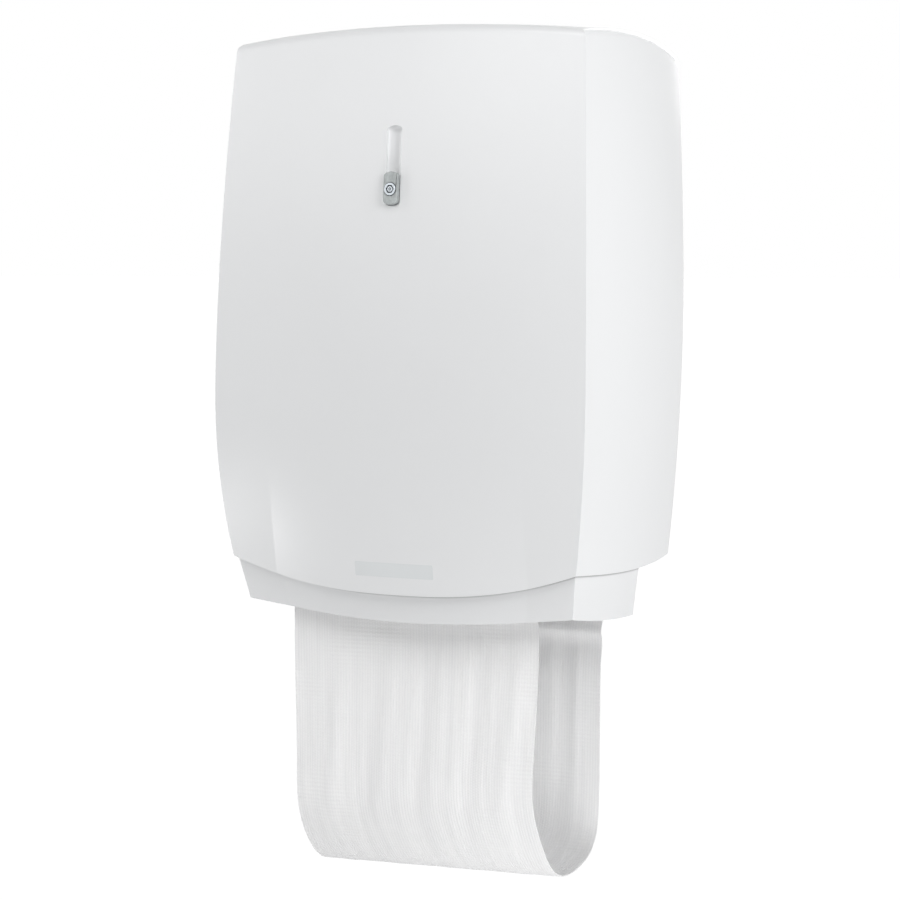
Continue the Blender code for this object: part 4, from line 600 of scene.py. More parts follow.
# %% Recess
RECESS_HALF = 0.0073
RECESS_REACH = 0.0352
PATCH_RIM = 0.0022
PATCH_BACK = 0.0065
GROOVE_MOUTH = 0.0022
GROOVE_ROUND = 0.0032
FLOOR_STEPS = 10
KEYWAY_HALF = 0.0039
KEYWAY = (-0.0249, -0.0063)


def recess_place(x, depth, height):
    """A point given along the tilted groove, in the cabinet's own frame."""
    turned = Vector((x, depth * math.cos(RECESS_TILT) + height * math.sin(RECESS_TILT),
                     height * math.cos(RECESS_TILT) - depth * math.sin(RECESS_TILT)))
    return tuple(RECESS_PLACE + turned)


def slot_outline(half, low, high, steps=14):
    arch = half * 0.55
    outline = []
    for centre, start in ((high - arch, 0.0), (low + arch, math.pi)):
        for step in range(steps + 1):
            turn = start + math.pi * step / steps
            outline.append((half * math.cos(turn), centre + arch * math.sin(turn)))
    return outline


def closed_block(name, rings):
    """A closed solid through rings of (x, depth, height) along the tilted groove."""
    rows = [[recess_place(*point) for point in ring + ring[:1]] for ring in rings]
    block = sheet_of(rows, name)
    with editing(block, "DESELECT"):
        bpy.ops.mesh.select_non_manifold()
        bpy.ops.mesh.edge_face_add()
        bpy.ops.mesh.select_all(action="SELECT")
        bpy.ops.mesh.normals_make_consistent(inside=False)
    return block


def slot_block(name, levels):
    """A closed block through slot outlines, one for each (depth, half width, low, high)."""
    return closed_block(name, [[(x, depth, height) for x, height in slot_outline(half, low, high)]
                               for depth, half, low, high in levels])


def combine(piece, tool, operation):
    apply(piece, "BOOLEAN", object=tool, operation=operation, solver="EXACT")
    bpy.data.objects.remove(tool)


def level(depth, grown):
    """One outline of the groove, wider and longer all round by so much."""
    return (depth, RECESS_HALF + grown, -RECESS_REACH - grown, RECESS_REACH + grown)


patch = slot_block("recess_patch", [level(0.0012, PATCH_RIM), level(PATCH_BACK, PATCH_RIM)])
combine(cover, patch, "UNION")
groove_levels = [level(-0.010, 0.0), level(GROOVE_MOUTH, 0.0)]
for step in range(1, FLOOR_STEPS):
    turn = math.pi / 2 * step / FLOOR_STEPS
    groove_levels.append(level(GROOVE_MOUTH + GROOVE_ROUND * math.sin(turn),
                               -RECESS_HALF * (1 - math.cos(turn))))
combine(cover, slot_block("groove", groove_levels), "DIFFERENCE")
keyway = slot_block("keyway", [(depth, KEYWAY_HALF, *KEYWAY) for depth in (0.0010, 0.0165)])
combine(cover, keyway, "DIFFERENCE")
soften(cover, 0.0006, angle=35.0)
finish_piece(cover, COVER_WHITE, "front_cover")
print("cover:", len(cover.data.polygons), "faces")

# %% [markdown]
# ## Slider
# The slider is a zinc casting with rounded front edges. Only those edges get a wide bevel, because
# the hole for the lock and the guides behind stay crisp in the real casting.

# %% Slider
LOCK_HEIGHT = -0.021
LOCK_HOLE = 0.0065
SLIDER_FACE = -0.0042


def along_slot(place):
    """(x, depth, height) of a point, along the tilted groove."""
    out = place - RECESS_PLACE
    return (out.x, out.y * math.cos(RECESS_TILT) - out.z * math.sin(RECESS_TILT),
            out.y * math.sin(RECESS_TILT) + out.z * math.cos(RECESS_TILT))


def on_rim(edge):
    """Whether an edge is the sharp outer edge of the slider's face."""
    ends = [along_slot(vertex.co) for vertex in edge.verts]
    return all(depth < SLIDER_FACE + 0.0002 and math.hypot(x, height - LOCK_HEIGHT) > LOCK_HOLE
               for x, depth, height in ends) and edge.calc_face_angle(0.0) > math.radians(40.0)


slider = merged_copy("lock_slider", "zinc_slider")
with editing(slider, "DESELECT"):
    bpy.ops.mesh.select_mode(type="EDGE")
    slider_shape = bmesh.from_edit_mesh(slider.data)
    rim_edges = [edge for edge in slider_shape.edges if on_rim(edge)]
    for edge in rim_edges:
        edge.select_set(True)
    bmesh.update_edit_mesh(slider.data)
    bpy.ops.mesh.bevel(offset=0.0010, segments=4, affect="EDGES")
    bpy.ops.mesh.select_mode(type="VERT")
soften(slider, 0.0002)
finish_piece(slider, SLIDER_SILVER, "lock_slider")
print("slider: bevelled", len(rim_edges), "rim edges")

# %% [markdown]
# ## Lock
# The lock is turned on a lathe: a flat face, a stepped ring round it, a six-sided recess for the
# key and a collar with a pin. Its measured front is cut off and turned again in full detail, ring
# by ring, and what lies behind the cut is kept.

# %% Lock
FACE = -0.0050
CUT = -0.0015


def lock_ring(radius, depth, corners=0, steps=60):
    """A ring round the lock's axis, or a polygon with so many corners."""
    ring = []
    for step in range(steps):
        turn = math.tau * step / steps
        away = radius
        if corners:
            half = math.pi / corners
            away = radius * math.cos(half) / math.cos((turn + half) % (2 * half) - half)
        ring.append((away * math.sin(turn), depth, LOCK_HEIGHT + away * math.cos(turn)))
    return ring


# (radius, depth behind the face, corners) from the rim to the pin, all but the first ring.
TURNED = ((0.0058, 0.0016, 0), (0.0055, 0.0016, 0), (0.0055, 0.0002, 0), (0.0053, 0.0, 0),
          (0.0040, 0.0, 6), (0.0038, 0.0002, 6), (0.0038, 0.0029, 6), (0.0025, 0.0029, 0),
          (0.0025, 0.0004, 0), (0.0023, 0.0002, 0), (0.0014, 0.0002, 0), (0.0013, 0.0003, 0),
          (0.0013, 0.0024, 0), (0.0007, 0.0024, 0), (0.0007, 0.0004, 0), (0.0004, 0.0002, 0))
plug = closed_block("lock_face", [lock_ring(TURNED[0][0], CUT)] + [
    lock_ring(radius, FACE + depth, corners) for radius, depth, corners in TURNED])
bpy.ops.object.shade_smooth_by_angle(angle=math.radians(30.0))
finish_piece(plug, LOCK_METAL, "lock_cylinder")
barrel = merged_copy("lock_cylinder", "lock_barrel")
inward = Vector(recess_place(0.0, 1.0, 0.0)) - RECESS_PLACE
with editing(barrel):
    bpy.ops.mesh.bisect(plane_co=recess_place(0.0, CUT, LOCK_HEIGHT), plane_no=inward,
                        use_fill=True, clear_inner=True)
soften(barrel, 0.0002)
finish_piece(barrel, LOCK_METAL, "lock_cylinder")
print("lock:", len(plug.data.polygons), "faces in front,", len(barrel.data.polygons), "behind")

# %% [markdown]
# ## A blank label
# Low on the front is the place of a label. It gets a plain film with rounded corners and nothing on
# it: a flat grid is laid on the cover's curve, given a thin wall and a small radius.

# %% Blank label
LABEL_HALF = 0.0385
LABEL_LOW, LABEL_HIGH = -0.2245, -0.2115
LABEL_WALL = 0.00035
LABEL_CORNER = 0.0012
LABEL_STEPS = 12


def label_row(height):
    """One row of the label, shorter near its rounded corners."""
    past = max(LABEL_CORNER - min(height - LABEL_LOW, LABEL_HIGH - height), 0.0)
    half = LABEL_HALF - LABEL_CORNER + math.sqrt(max(LABEL_CORNER ** 2 - past ** 2, 0.0))
    across = [half * step / LABEL_STEPS for step in range(-LABEL_STEPS, LABEL_STEPS + 1)]
    return [(x, front_y(x, height) - 0.0001, height) for x in across]


label_heights = [LABEL_LOW + LABEL_CORNER * (1 - math.cos(math.pi / 2 * step / 5))
                 for step in range(6)]
label_heights += [LABEL_LOW + LABEL_HIGH - height for height in reversed(label_heights)]
label = sheet_of([label_row(height) for height in label_heights], "blank_label")
apply(label, "SOLIDIFY", thickness=LABEL_WALL, offset=-1.0)
soften(label, 0.0001)
LABEL_FILM = moulded_plastic("plain_label_film", tone(228, 231, 232), 0.22, 2400.0, 30.0)
finish_piece(label, LABEL_FILM, "front_cover")
print("label:", len(label.data.polygons), "faces")

# %% [markdown]
# ## The skirt
# The skirt closes the gap under the cover. It follows the cover's foot, facets included, but is
# set in by a few millimetres and tapers in downwards, so a thin shadow line runs along the seam.

# %% Skin of the skirt
SKIRT_END = 0.61
SKIRT_WALL = 0.0024
SKIRT_DROP = 0.0402
SEAM_TUCK = 0.004
SKIRT_SIDE_STEPS = 22
SKIRT_RINGS = 14


def narrower(z):
    """How far the skirt's sides stand inside the cover's at a height."""
    return 0.0021 + 0.165 * (FOOT_Z - z)


def set_back(z):
    """How far the skirt's front stands behind the cover's at a height."""
    return 0.0042 + 0.26 * (FOOT_Z - z)


def skirt_point(spot, z):
    side, share = spot
    if side:
        y = side_y(share, FOOT_Z) + set_back(z) * (1 - share)
        return (side * (side_x(share, FOOT_Z) - narrower(z)), y, z)
    return (share * (CORNER - narrower(z)) / CORNER, front_y(share, FOOT_Z) + set_back(z), z)


def skirt_edges(spot):
    side, share = spot
    corner = FOOT_Z - SKIRT_DROP
    if side:
        return corner - 0.010 * (1 - (1 - share / SKIRT_END) ** 2), side_foot_z(share) + SEAM_TUCK
    x_share = min(abs(share) / CORNER, 1.0)
    return corner - 0.0115 * (1 - x_share ** 1.8), seam_z(x_share) + SEAM_TUCK


def skirt_rows():
    rows = []
    for step in range(SKIRT_RINGS + 1):
        row = []
        for spot in spots(SKIRT_SIDE_STEPS, SKIRT_END):
            foot, head = skirt_edges(spot)
            row.append(skirt_point(spot, foot + (head - foot) * step / SKIRT_RINGS))
        rows.append(row)
    return rows


def below_seam(place):
    """How far a point of the skirt lies below the cover's edge."""
    x_share = abs(place.x) / (CORNER - narrower(place.z))
    if x_share < 1.0:
        return seam_z(x_share) - place.z
    depth = reach(FOOT_Z) + WALL_Y - set_back(place.z)
    return side_foot_z(1 - min((WALL_Y - place.y) / depth, 1.0)) - place.z


skirt = sheet_of(skirt_rows(), "skirt_shell")
apply(skirt, "SOLIDIFY", thickness=SKIRT_WALL, offset=-1.0, use_even_offset=True)
soften(skirt, 0.0005, angle=35.0)
depths = skirt.data.attributes.new("below_seam", "FLOAT", "POINT")
for vertex in skirt.data.vertices:
    depths.data[vertex.index].value = below_seam(vertex.co)
print("skirt shell:", len(skirt.data.polygons), "faces")

# %% [markdown]
# ## Painted shadow under the seam
# The skirt is the cover's plastic, with a thin grey line painted under the cover's edge as its
# shadow.
# The distance below that edge was stored with every point, so the line follows the seam's curve
# without a painted image.

# %% Plastic of the skirt
# Painted shadow: a grey line of tone 150 just under the cover's edge, where that edge casts its
# shade.
def painted_seam_shadow(finish, unshaded):
    below = finish.node("ShaderNodeAttribute", {"attribute_name": "below_seam"}, {}, "Fac")
    line = finish.band(below, 0.0005, 0.0024, 0.9, 0.0)
    return finish.blend(line, unshaded, tone(150, 150, 150))


# The skirt's plastic, with its painted shadow line along the seam.
SKIRT_WHITE = moulded_plastic("satin_white_plastic_skirt", tone(233, 234, 235), 0.32, 1500.0, 9.0,
                              painted_shade=painted_seam_shadow)
finish_piece(skirt, SKIRT_WHITE, "skirt")
print("skirt:", SKIRT_WHITE.name)

# %% [markdown]
# ## Flanges of the skirt
# Inside, a flat flange on each side carries the skirt on the side frame, with an upright tab for
# its two screws. They start as cubes, whose corners are pulled out to the skirt's wall.

# %% Skirt flanges
FLANGE_TOP = -0.2539
FLANGE_WALL = 0.0024
FLANGE_CUTS = 8
FRAME_SIDE = 0.1313
TAB = (-0.150, -0.090, 0.016)


def box(name, low, high):
    bpy.ops.object.select_all(action="DESELECT")
    bpy.ops.mesh.primitive_cube_add(size=1.0)
    piece = bpy.context.object
    piece.name = name
    for vertex in piece.data.vertices:
        vertex.co = [low[axis] if vertex.co[axis] < 0 else high[axis] for axis in range(3)]
    return piece


def skirt_flange(side, word):
    foot = FLANGE_TOP - FLANGE_WALL
    flange = box("skirt_flange_" + word, (0.0, 0.0, foot), (1.0, 1.0, FLANGE_TOP))
    with editing(flange):
        for cut in range(1, FLANGE_CUTS):
            bpy.ops.mesh.select_all(action="SELECT")
            bpy.ops.mesh.bisect(plane_co=(0.0, cut / FLANGE_CUTS, 0.0), plane_no=(0.0, 1.0, 0.0))
    for vertex in flange.data.vertices:
        share = 0.05 + 0.53 * vertex.co.y
        x, y, _ = skirt_point((1, share), foot)
        vertex.co.x = side * (FRAME_SIDE if vertex.co.x < 0.5 else x - 0.0012)
        vertex.co.y = y
    low, high = sorted((side * FRAME_SIDE, side * (FRAME_SIDE + FLANGE_WALL)))
    tab = box("tab", (low, TAB[0], foot), (high, TAB[1], FLANGE_TOP + TAB[2]))
    with editing(flange):
        bpy.ops.mesh.normals_make_consistent(inside=False)
    combine(flange, tab, "UNION")
    soften(flange, 0.0004)
    return finish_piece(flange, COVER_WHITE, "skirt")


flanges = [skirt_flange(side, word) for side, word in ((-1, "left"), (1, "right"))]
print("flanges:", [flange.name for flange in flanges])

# %% [markdown]
# ## The rest of the rigid parts
# Behind the cover sit the back plate, the side frames, the rollers, gears and hubs. They are
# softened the same way, each with a radius that suits its stock: thin steel has less than a
# moulding. The three springs are copied as they are.

# %% Softened inner parts
STOCK = {
    "frame_grey": (FRAME_GREY, 0.0007),
    "steel": (STEEL, 0.0003),
    "roller_rubber": (ROLLER_RUBBER, 0.0005),
    "acetal_white": (ACETAL_WHITE, 0.0003),
    "cover_white": (COVER_WHITE, 0.0006),
    "core_board": (CORE_BOARD, 0.0003),
}
# Each spring's joint, its axis, its fixed end and the share of its length left at the limit.
SPRINGS = {
    "hub_spring": ("hub_release", (1, 0, 0), (-0.1575, -0.1000, 0.1080), 0.46),
}
for side, word in ((-1, "left"), (1, "right")):
    SPRINGS["pressure_spring_" + word] = ("pressure_bracket_swing", (0, 1, 0),
                                          (side * 0.1233, -0.1523, -0.1280), 0.88)
MADE_APART = ("front_cover", "skirt", "lock_slider", "lock_cylinder", "towel",
              "clean_roll", "used_roll")

softened = []
for node, stock in SLOT_OF.items():
    if node in MADE_APART or node in SPRINGS:
        continue
    material, width = STOCK[stock]
    part = merged_copy(node, "soft_" + node)
    soften(part, width)
    softened.append(finish_piece(part, material, node))
for node, (joint, axis, anchor, left) in SPRINGS.items():
    spring = merged_copy(node, "coil_" + node)
    bpy.ops.object.shade_smooth_by_angle(angle=math.radians(60.0))
    finish_piece(spring, STEEL, node)
    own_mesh(spring)
print("softened parts:", len(softened), "and", len(SPRINGS), "springs")

# %% [markdown]
# ## The cloth's line
# Seen from the side, the cloth leaves the clean roll, is pinched between the feed roller and the
# pressure roller, hangs in a loop, creases where it passes the rear mouth, slides over a guide rod
# and ends on the used roll. The line is worked out from the rollers' places, then cut into equal
# steps so that the weave keeps its size all the way.

# %% Line of the cloth
WIDTH = 0.240
THICKNESS = 0.0012
SKIN = 0.0003 + THICKNESS / 2
CLEAN = Vector((-0.100, 0.108))
CLEAN_RADIUS = 0.068
USED = Vector((-0.084, -0.088))
USED_RADIUS = 0.048
FEED = Vector((-0.1545, -0.205))
FEED_RADIUS = 0.022
GUIDE = Vector((-0.028, -0.252))
GUIDE_RADIUS = 0.0055
FRONT_RUN = FEED.x - FEED_RADIUS - SKIN
# Stations (Y, Z) of the hanging loop at its left and right edges, from the nip down and up again.
LEFT_EDGE = (
    (-0.1776, -0.245), (-0.1774, -0.275), (-0.1772, -0.310), (-0.1764, -0.349),
    (-0.1760, -0.396), (-0.1760, -0.430), (-0.1708, -0.4545), (-0.1580, -0.478),
    (-0.1415, -0.496), (-0.1230, -0.5070), (-0.1000, -0.5095), (-0.0760, -0.5070),
    (-0.0520, -0.4985), (-0.0370, -0.484), (-0.0300, -0.466), (-0.0270, -0.440),
    (-0.0262, -0.403), (-0.0256, -0.360), (-0.0248, -0.325), (-0.0222, -0.303))
RIGHT_EDGE = (
    (-0.1745, -0.243), (-0.1690, -0.268), (-0.1692, -0.300), (-0.1738, -0.339),
    (-0.1788, -0.375), (-0.1820, -0.400), (-0.1796, -0.427), (-0.1650, -0.456),
    (-0.1430, -0.4845), (-0.1210, -0.4990), (-0.0990, -0.5030), (-0.0755, -0.5015),
    (-0.0520, -0.4955), (-0.0375, -0.484), (-0.0308, -0.470), (-0.0274, -0.440),
    (-0.0262, -0.403), (-0.0256, -0.360), (-0.0248, -0.325), (-0.0215, -0.3015))
CREASE = (-0.0252, -0.2906)
ABOVE_CREASE = (-0.0212, -0.278)


def tangent(start, start_radius, end, end_radius, side):
    run = end - start
    lean = math.acos((start_radius - end_radius) / run.length)
    turn = math.atan2(run.y, run.x) + side * lean
    return start + start_radius * Vector((math.cos(turn), math.sin(turn)))


def rounded(line, steps=6):
    """A smooth curve through the line's points."""
    curve = []
    for index in range(len(line) - 1):
        before, start, end = line[max(index - 1, 0)], line[index], line[index + 1]
        after = line[min(index + 2, len(line) - 1)]
        for step in range(steps):
            t = step / steps
            curve.append(0.5 * (2 * start + (end - before) * t
                                + (2 * before - 5 * start + 4 * end - after) * t ** 2
                                + (3 * start - before - 3 * end + after) * t ** 3))
    return curve + [line[-1]]


def cloth_line(share):
    """Points (Y, Z) of the cloth, from its left edge (0) to its right edge (1)."""
    down = [tangent(CLEAN, CLEAN_RADIUS + SKIN, FEED, FEED_RADIUS + SKIN, -1),
            tangent(FEED, FEED_RADIUS + SKIN, CLEAN, CLEAN_RADIUS + SKIN, 1)]
    hanging = [Vector((FRONT_RUN, FEED.y)), Vector((FRONT_RUN, FEED.y - FEED_RADIUS))]
    hanging += [Vector(left).lerp(Vector(right), share)
                for left, right in zip(LEFT_EDGE, RIGHT_EDGE)]
    hanging.append(Vector(CREASE))
    over_guide = GUIDE.x + GUIDE_RADIUS + SKIN
    up = [Vector(CREASE), Vector(ABOVE_CREASE), Vector((over_guide, GUIDE.y))]
    return down + rounded(hanging) + rounded(up)[1:] + [
        tangent(GUIDE, GUIDE_RADIUS + SKIN, USED, USED_RADIUS + SKIN, -1),
        tangent(USED, USED_RADIUS + SKIN, GUIDE, GUIDE_RADIUS + SKIN, 1)]


def line_length(line):
    return sum((after - before).length for before, after in zip(line, line[1:]))


CLOTH_LENGTH = line_length(cloth_line(0.5))
print("cloth in the loop:", round(CLOTH_LENGTH, 4), "m")

# %% [markdown]
# ## Folds
# A woven towel is soft: it hangs in faint upright folds, deepest at mid height and nearly gone at
# the loop, where its own weight pulls it flat. Waves of three widths that wander as they fall look
# less regular than one.

# %% Places on the line and folds
COLUMNS = 112
ROWS = 300


def equal_steps(line, count):
    """The line's points and directions at equal steps along it."""
    lengths = [0.0]
    for before, after in zip(line, line[1:]):
        lengths.append(lengths[-1] + (after - before).length)
    places, index = [], 0
    for step in range(count + 1):
        target = lengths[-1] * step / count
        while index < len(line) - 2 and lengths[index + 1] < target:
            index += 1
        share = (target - lengths[index]) / (lengths[index + 1] - lengths[index])
        places.append(line[index].lerp(line[index + 1], min(share, 1.0)))
    return places


def rise(value, low, high):
    share = min(max((value - low) / (high - low), 0.0), 1.0)
    return share * share * (3 - 2 * share)


def fold(across, along, height):
    """How far the cloth stands out of its line: folds of three widths that wander as they fall."""
    drift = 0.006 * math.sin(11.0 * along + 0.6) + 0.03 * (along - 0.55)
    wide = math.sin(math.tau * (across + drift) / 0.057 + 0.8)
    middle = math.sin(math.tau * (across + 1.4 * drift) / 0.025 + 2.2 + 1.1 * math.sin(7.0 * along))
    narrow = math.sin(math.tau * (across - drift) / 0.0121 + 1.9 * math.sin(9.0 * along + 2.0))
    depth = rise(-0.255 - height, 0.0, 0.09) * (1 - 0.85 * rise(-height, 0.42, 0.49))
    return depth * (0.0009 * wide + 0.00045 * middle + 0.00014 * narrow)


# %% [markdown]
# ## Laying the cloth
# The sheet starts as a flat grid, which gives it its map. Each of its points is then carried to
# its place along the cloth's line, and pushed in or out by the folds.

# %% Cloth sheet
def make_sheet():
    bpy.ops.object.select_all(action="DESELECT")
    bpy.ops.mesh.primitive_grid_add(x_subdivisions=COLUMNS, y_subdivisions=ROWS, size=1.0)
    sheet = bpy.context.object
    sheet.name = "cloth_loop"
    flat = [(vertex.co.x + 0.5, vertex.co.y + 0.5) for vertex in sheet.data.vertices]
    layer = sheet.data.uv_layers[0]
    for corner in sheet.data.loops:
        layer.data[corner.index].uv = flat[corner.vertex_index]
    lines = {}
    for vertex, (share, along) in zip(sheet.data.vertices, flat):
        column = round(share * COLUMNS)
        if column not in lines:
            lines[column] = equal_steps(cloth_line(column / COLUMNS), ROWS)
        places = lines[column]
        row = round(along * ROWS)
        run = (places[min(row + 1, ROWS)] - places[max(row - 1, 0)]).normalized()
        out = Vector((run.y, -run.x))
        place = places[row] - out * fold(share * WIDTH, along * CLOTH_LENGTH, places[row].y)
        vertex.co = (WIDTH * (share - 0.5), place.x, place.y)
    return sheet


cloth = make_sheet()
print("cloth:", len(cloth.data.vertices), "points")

# %% [markdown]
# ## Thickness of the cloth
# A sheet without thickness has no edge to catch the light, and its two faces would share one
# normal. Solidify gives it the thickness of a folded cotton weave, half to each side.

# %% Thickness
apply(cloth, "SOLIDIFY", thickness=0.0010, offset=0.0)
bpy.ops.object.shade_smooth_by_angle(angle=math.radians(50.0))
print("cloth:", len(cloth.data.polygons), "faces")

# %% [markdown]
# ## The weave
# The towel is a huckaback weave: raised ribs under three millimetres apart run along the cloth, and
# short floats cross them in turn, so close up it looks dotted. The pattern follows the sheet's own
# map, in real millimetres, so it bends with the cloth. Colour carries part of it, because the
# hollows between ribs trap shade that a bump alone doesn't make.

# %% Weave
RIB = 0.0027
FLOAT = 0.0024


def woven_cloth(name, light, hollow, width, length, stain=0.0):
    finish = Finish(name, Roughness=0.85, Specular_IOR_Level=0.15, Sheen_Weight=0.15,
                    Subsurface_Weight=0.30, Subsurface_Radius=(1.0, 1.0, 1.0),
                    Subsurface_Scale=0.0015)
    flat = finish.node("ShaderNodeUVMap", {}, {})
    share, run, _ = finish.axes(flat)
    across, along = share * width, run * length

    def threads(wide, long, detail=2.0):
        """Noise whose patches are so many metres wide and long on the cloth."""
        sockets = {"Vector": flat, "Scale": (width / wide, length / long, 1.0)}
        return finish.noise(1.0, detail, finish.node("ShaderNodeMapping", {}, sockets))

    wander = threads(0.006, 0.160)
    rib = (across * (math.tau / RIB) + wander * 5.0).sine() * 0.5 + 0.5
    turn = (across * (1 / RIB)).floor() * math.pi
    dot = (along * (math.tau / FLOAT) + turn + threads(0.030, 0.030) * 6.0).sine() * 0.5 + 0.5
    weft = (along * (math.tau / (FLOAT * 1.6)) + threads(0.060, 0.004) * 2.5).sine() * 0.5 + 0.5
    patch = finish.band(threads(0.090, 0.070), 0.48, 0.66)
    yarn = threads(0.0011, 0.0040, 3.0)
    height = rib * (0.36 - patch * 0.20) + rib * dot * 0.44 + weft * patch * 0.40 + yarn * 0.60
    streak = threads(0.0085, 0.220, 3.0)
    mix = finish.band(height * 0.8 + finish.band(streak, 0.3, 0.7) * 0.5, 0.2, 1.3)
    shade = finish.blend(mix, hollow, light)
    if stain:
        cloud = finish.noise(26.0, 4.0)
        shade = finish.blend(finish.band(cloud, 0.45, 0.75, 0.0, stain), shade, tone(206, 203, 196))
    return finish.wear(Base_Color=shade, Normal=finish.bump(height, 0.0005, 0.50))


CLOTH = woven_cloth("ribbed_cotton", tone(254, 254, 254), tone(240, 240, 241), WIDTH, CLOTH_LENGTH)
finish_piece(cloth, CLOTH, "towel")
print("weave:", round(WIDTH / RIB), "ribs across")

# %% [markdown]
# ## The two rolls
# A roll of towel is one long strip wound round a core, and its ends show the turns. A cylinder
# with lines painted on it looks false where the light rakes across, so the strip is really wound:
# a small rectangle is carried along a spiral, from the core outwards.

# %% Wound rolls
TURN_STEPS = 56


def spiral(centre, inner, outer, half_width, pitch):
    """The strip's four corner points at each step, and its length up to there."""
    steps = int((outer - inner) / pitch * TURN_STEPS)
    wall = pitch * 0.78
    rows, lengths = [], [0.0]
    for step in range(steps + 1):
        turn = math.tau * step / TURN_STEPS
        radius = inner + (outer - wall - inner) * step / steps
        end = half_width + 0.0007 * math.sin(turn * 0.37 + 1.0) + 0.0005 * math.sin(turn * 1.9)
        heading = Vector((math.cos(turn), -math.sin(turn)))
        low, high = centre + heading * radius, centre + heading * (radius + wall)
        rows.append([(-end, *low), (end, *low), (end, *high), (-end, *high)])
        lengths.append(lengths[-1] + math.tau * radius / TURN_STEPS)
    return rows, lengths


def wound_roll(name, *winding):
    """The strip along its spiral, mapped across and along like the flat cloth."""
    rows, lengths = spiral(*winding)
    shape = bmesh.new()
    layer = shape.loops.layers.uv.new("UVMap")
    rings = [[shape.verts.new(place) for place in row] for row in rows]
    share = (0.0, 1.0, 1.0, 0.0)
    for step in range(len(rows) - 1):
        for side in range(4):
            after = (side + 1) % 4
            around = ((side, step), (after, step), (after, step + 1), (side, step + 1))
            face = shape.faces.new([rings[row][corner] for corner, row in around])
            for loop, (corner, row) in zip(face.loops, around):
                loop[layer].uv = (share[corner], lengths[row] / lengths[-1])
    shape.faces.new(rings[0][::-1])
    shape.faces.new(rings[-1])
    bmesh.ops.recalc_face_normals(shape, faces=shape.faces)
    mesh = bpy.data.meshes.new(name)
    shape.to_mesh(mesh)
    roll = linked(name, mesh)
    only(roll)
    bpy.ops.object.shade_smooth_by_angle(angle=math.radians(40.0))
    return roll, lengths[-1]


clean_roll, clean_length = wound_roll("clean_winding", CLEAN, 0.0203, CLEAN_RADIUS, 0.1195, 0.0012)
CLEAN_CLOTH = woven_cloth("ribbed_cotton_wound", tone(242, 243, 244), tone(220, 222, 224), WIDTH,
                          clean_length)
finish_piece(clean_roll, CLEAN_CLOTH, "clean_roll")
used_roll, used_length = wound_roll("used_winding", USED, 0.0103, USED_RADIUS, 0.1185, 0.0013)
USED_CLOTH = woven_cloth("used_cotton_wound", tone(228, 228, 226), tone(204, 205, 204), WIDTH,
                         used_length, stain=0.5)
finish_piece(used_roll, USED_CLOTH, "used_roll")
print("wound:", round(clean_length, 2), "m clean and", round(used_length, 2), "m used")

# %% [markdown]
# ## Studio
# The photograph is a cut-out on white. A pale floor well below the cabinet throws light back up
# and takes the shadow, and to the camera both floor and surroundings read white. That white is
# their own glow, because more light on the cabinet would wash out its shading.

# %% Floor and surroundings
WHITE = (1.0, 1.0, 1.0, 1.0)
FLOOR_GLOW = 1.26


def white_to_camera(graph, plain, white, share_seen=1.0):
    """Mix a plain shader with white light that only camera, mirror and glass rays see."""
    rays = graph.node("ShaderNodeLightPath", {}, {}).socket.node.outputs
    seen, mirror, glass = (Wire(graph, rays["Is " + kind + " Ray"])
                           for kind in ("Camera", "Glossy", "Transmission"))
    share = seen.either(mirror).either(glass) * share_seen
    lit = Wire(graph, plain.outputs[0])
    mix = graph.node("ShaderNodeMixShader", {}, {0: share, 1: lit, 2: white})
    output = next(node for node in graph.tree.nodes if node.type.startswith("OUTPUT"))
    graph.feed(output.inputs["Surface"], mix)


FLOOR_Z = -1.35
bpy.ops.object.select_all(action="DESELECT")
bpy.ops.mesh.primitive_plane_add(size=400.0)
floor = bpy.context.object
floor.name = "studio_floor"
for vertex in floor.data.vertices:
    vertex.co.z = FLOOR_Z
floor_finish = Finish("pale_floor", Base_Color=(0.82, 0.82, 0.82, 1.0), Roughness=0.9)
glow = floor_finish.node("ShaderNodeEmission", {}, {"Strength": FLOOR_GLOW})
white_to_camera(floor_finish, floor_finish.shader, glow, 0.8)
floor.data.materials.append(floor_finish.material)

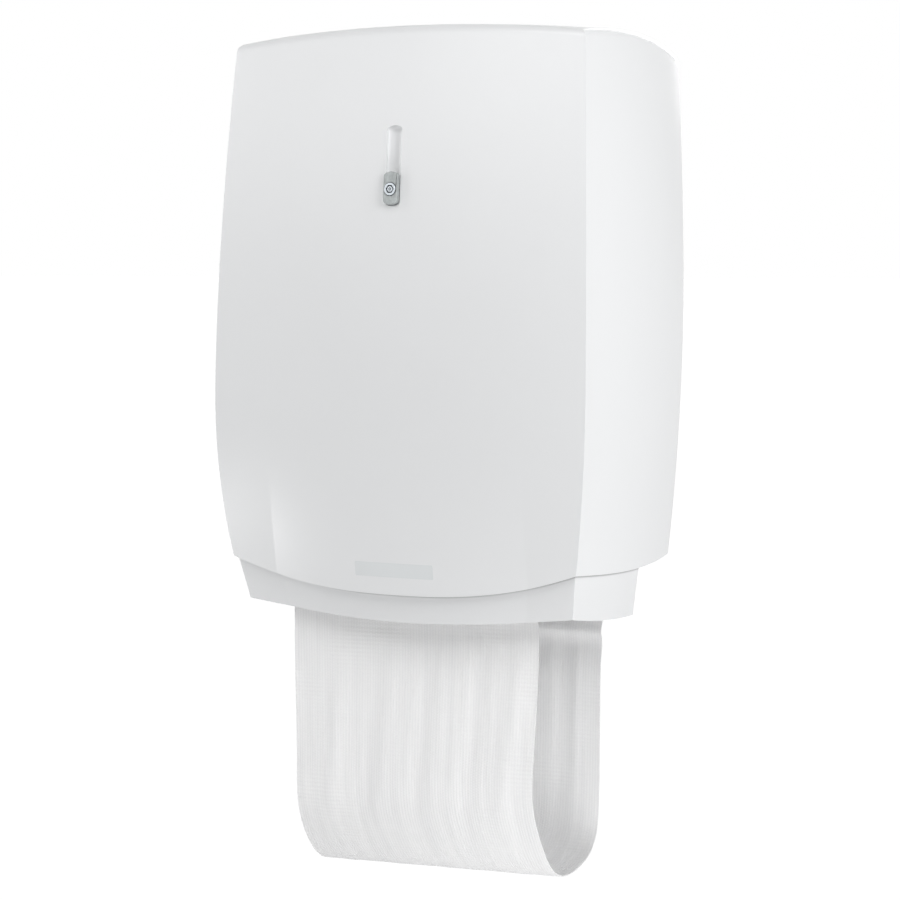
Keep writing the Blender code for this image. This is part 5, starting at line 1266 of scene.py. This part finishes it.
AMBIENT = 0.16
world = bpy.data.worlds.new("studio")
bpy.context.scene.world = world
world.use_nodes = True
sky = Graph(world.node_tree)
plain = sky.tree.nodes["Background"]
plain.inputs["Strength"].default_value = AMBIENT
plain.inputs["Color"].default_value = WHITE
white_to_camera(sky, plain, sky.node("ShaderNodeBackground", {}, {"Color": WHITE}))
print("floor at", FLOOR_Z, "m")

# %% [markdown]
# ## Lamps
# Soft round lamps stand a metre or more from the cabinet, the strongest in front on its right, as
# in the photograph. A large lamp of low power shades the white cover without a hot spot.

# %% Lamps
MIDDLE = Vector((0.0, -0.1, -0.05))
# Azimuth and elevation in degrees, distance, size and power of the lamps round the cabinet.
LAMPS = {
    "key": (60, 25, 1.1, 0.6, 4.8),
    "right_side": (95, -5, 1.1, 0.9, 3.5),
    "from_below": (46, -50, 1.1, 0.8, 2.9),
    "from_above": (5, 55, 1.1, 0.4, 1.8),
    "front": (-10, 30, 1.1, 0.4, 1.1),
    "left_side": (-65, 25, 1.1, 0.4, 2.1),
    "left_front": (-34, 25, 1.1, 0.4, 0.6),
    "low_left": (-55, -22, 1.1, 0.2, 2.1),
    "behind": (180, 25, 1.6, 0.8, 7.0),
    "behind_low": (-160, -20, 1.6, 0.8, 7.0),
}


def soft_lamp(name, place, aim, size, power):
    data = bpy.data.lights.new(name, "AREA")
    data.shape = "DISK"
    data.size = size
    data.energy = power
    lamp = linked(name, data)
    lamp.location = place
    lamp.rotation_euler = (aim - place).to_track_quat("-Z", "Y").to_euler()
    lamp.visible_camera = False


for name, (azimuth, elevation, distance, size, power) in LAMPS.items():
    a, e = math.radians(azimuth), math.radians(elevation)
    away = Vector((math.sin(a) * math.cos(e), -math.cos(a) * math.cos(e), math.sin(e)))
    soft_lamp(name, MIDDLE + distance * away, MIDDLE, size, power)
soft_lamp("cloth_fill", Vector((0.34, -0.68, -0.75)), Vector((0.0, -0.15, -0.42)), 0.4, 1.05)
print("lamps:", len(LAMPS) + 1)

# %% [markdown]
# ## Colour on screen
# The Standard view shows colours as they are written, so a white of 236 reads as 236 under even
# light.

# %% Finish
bpy.context.scene.view_settings.view_transform = "Standard"
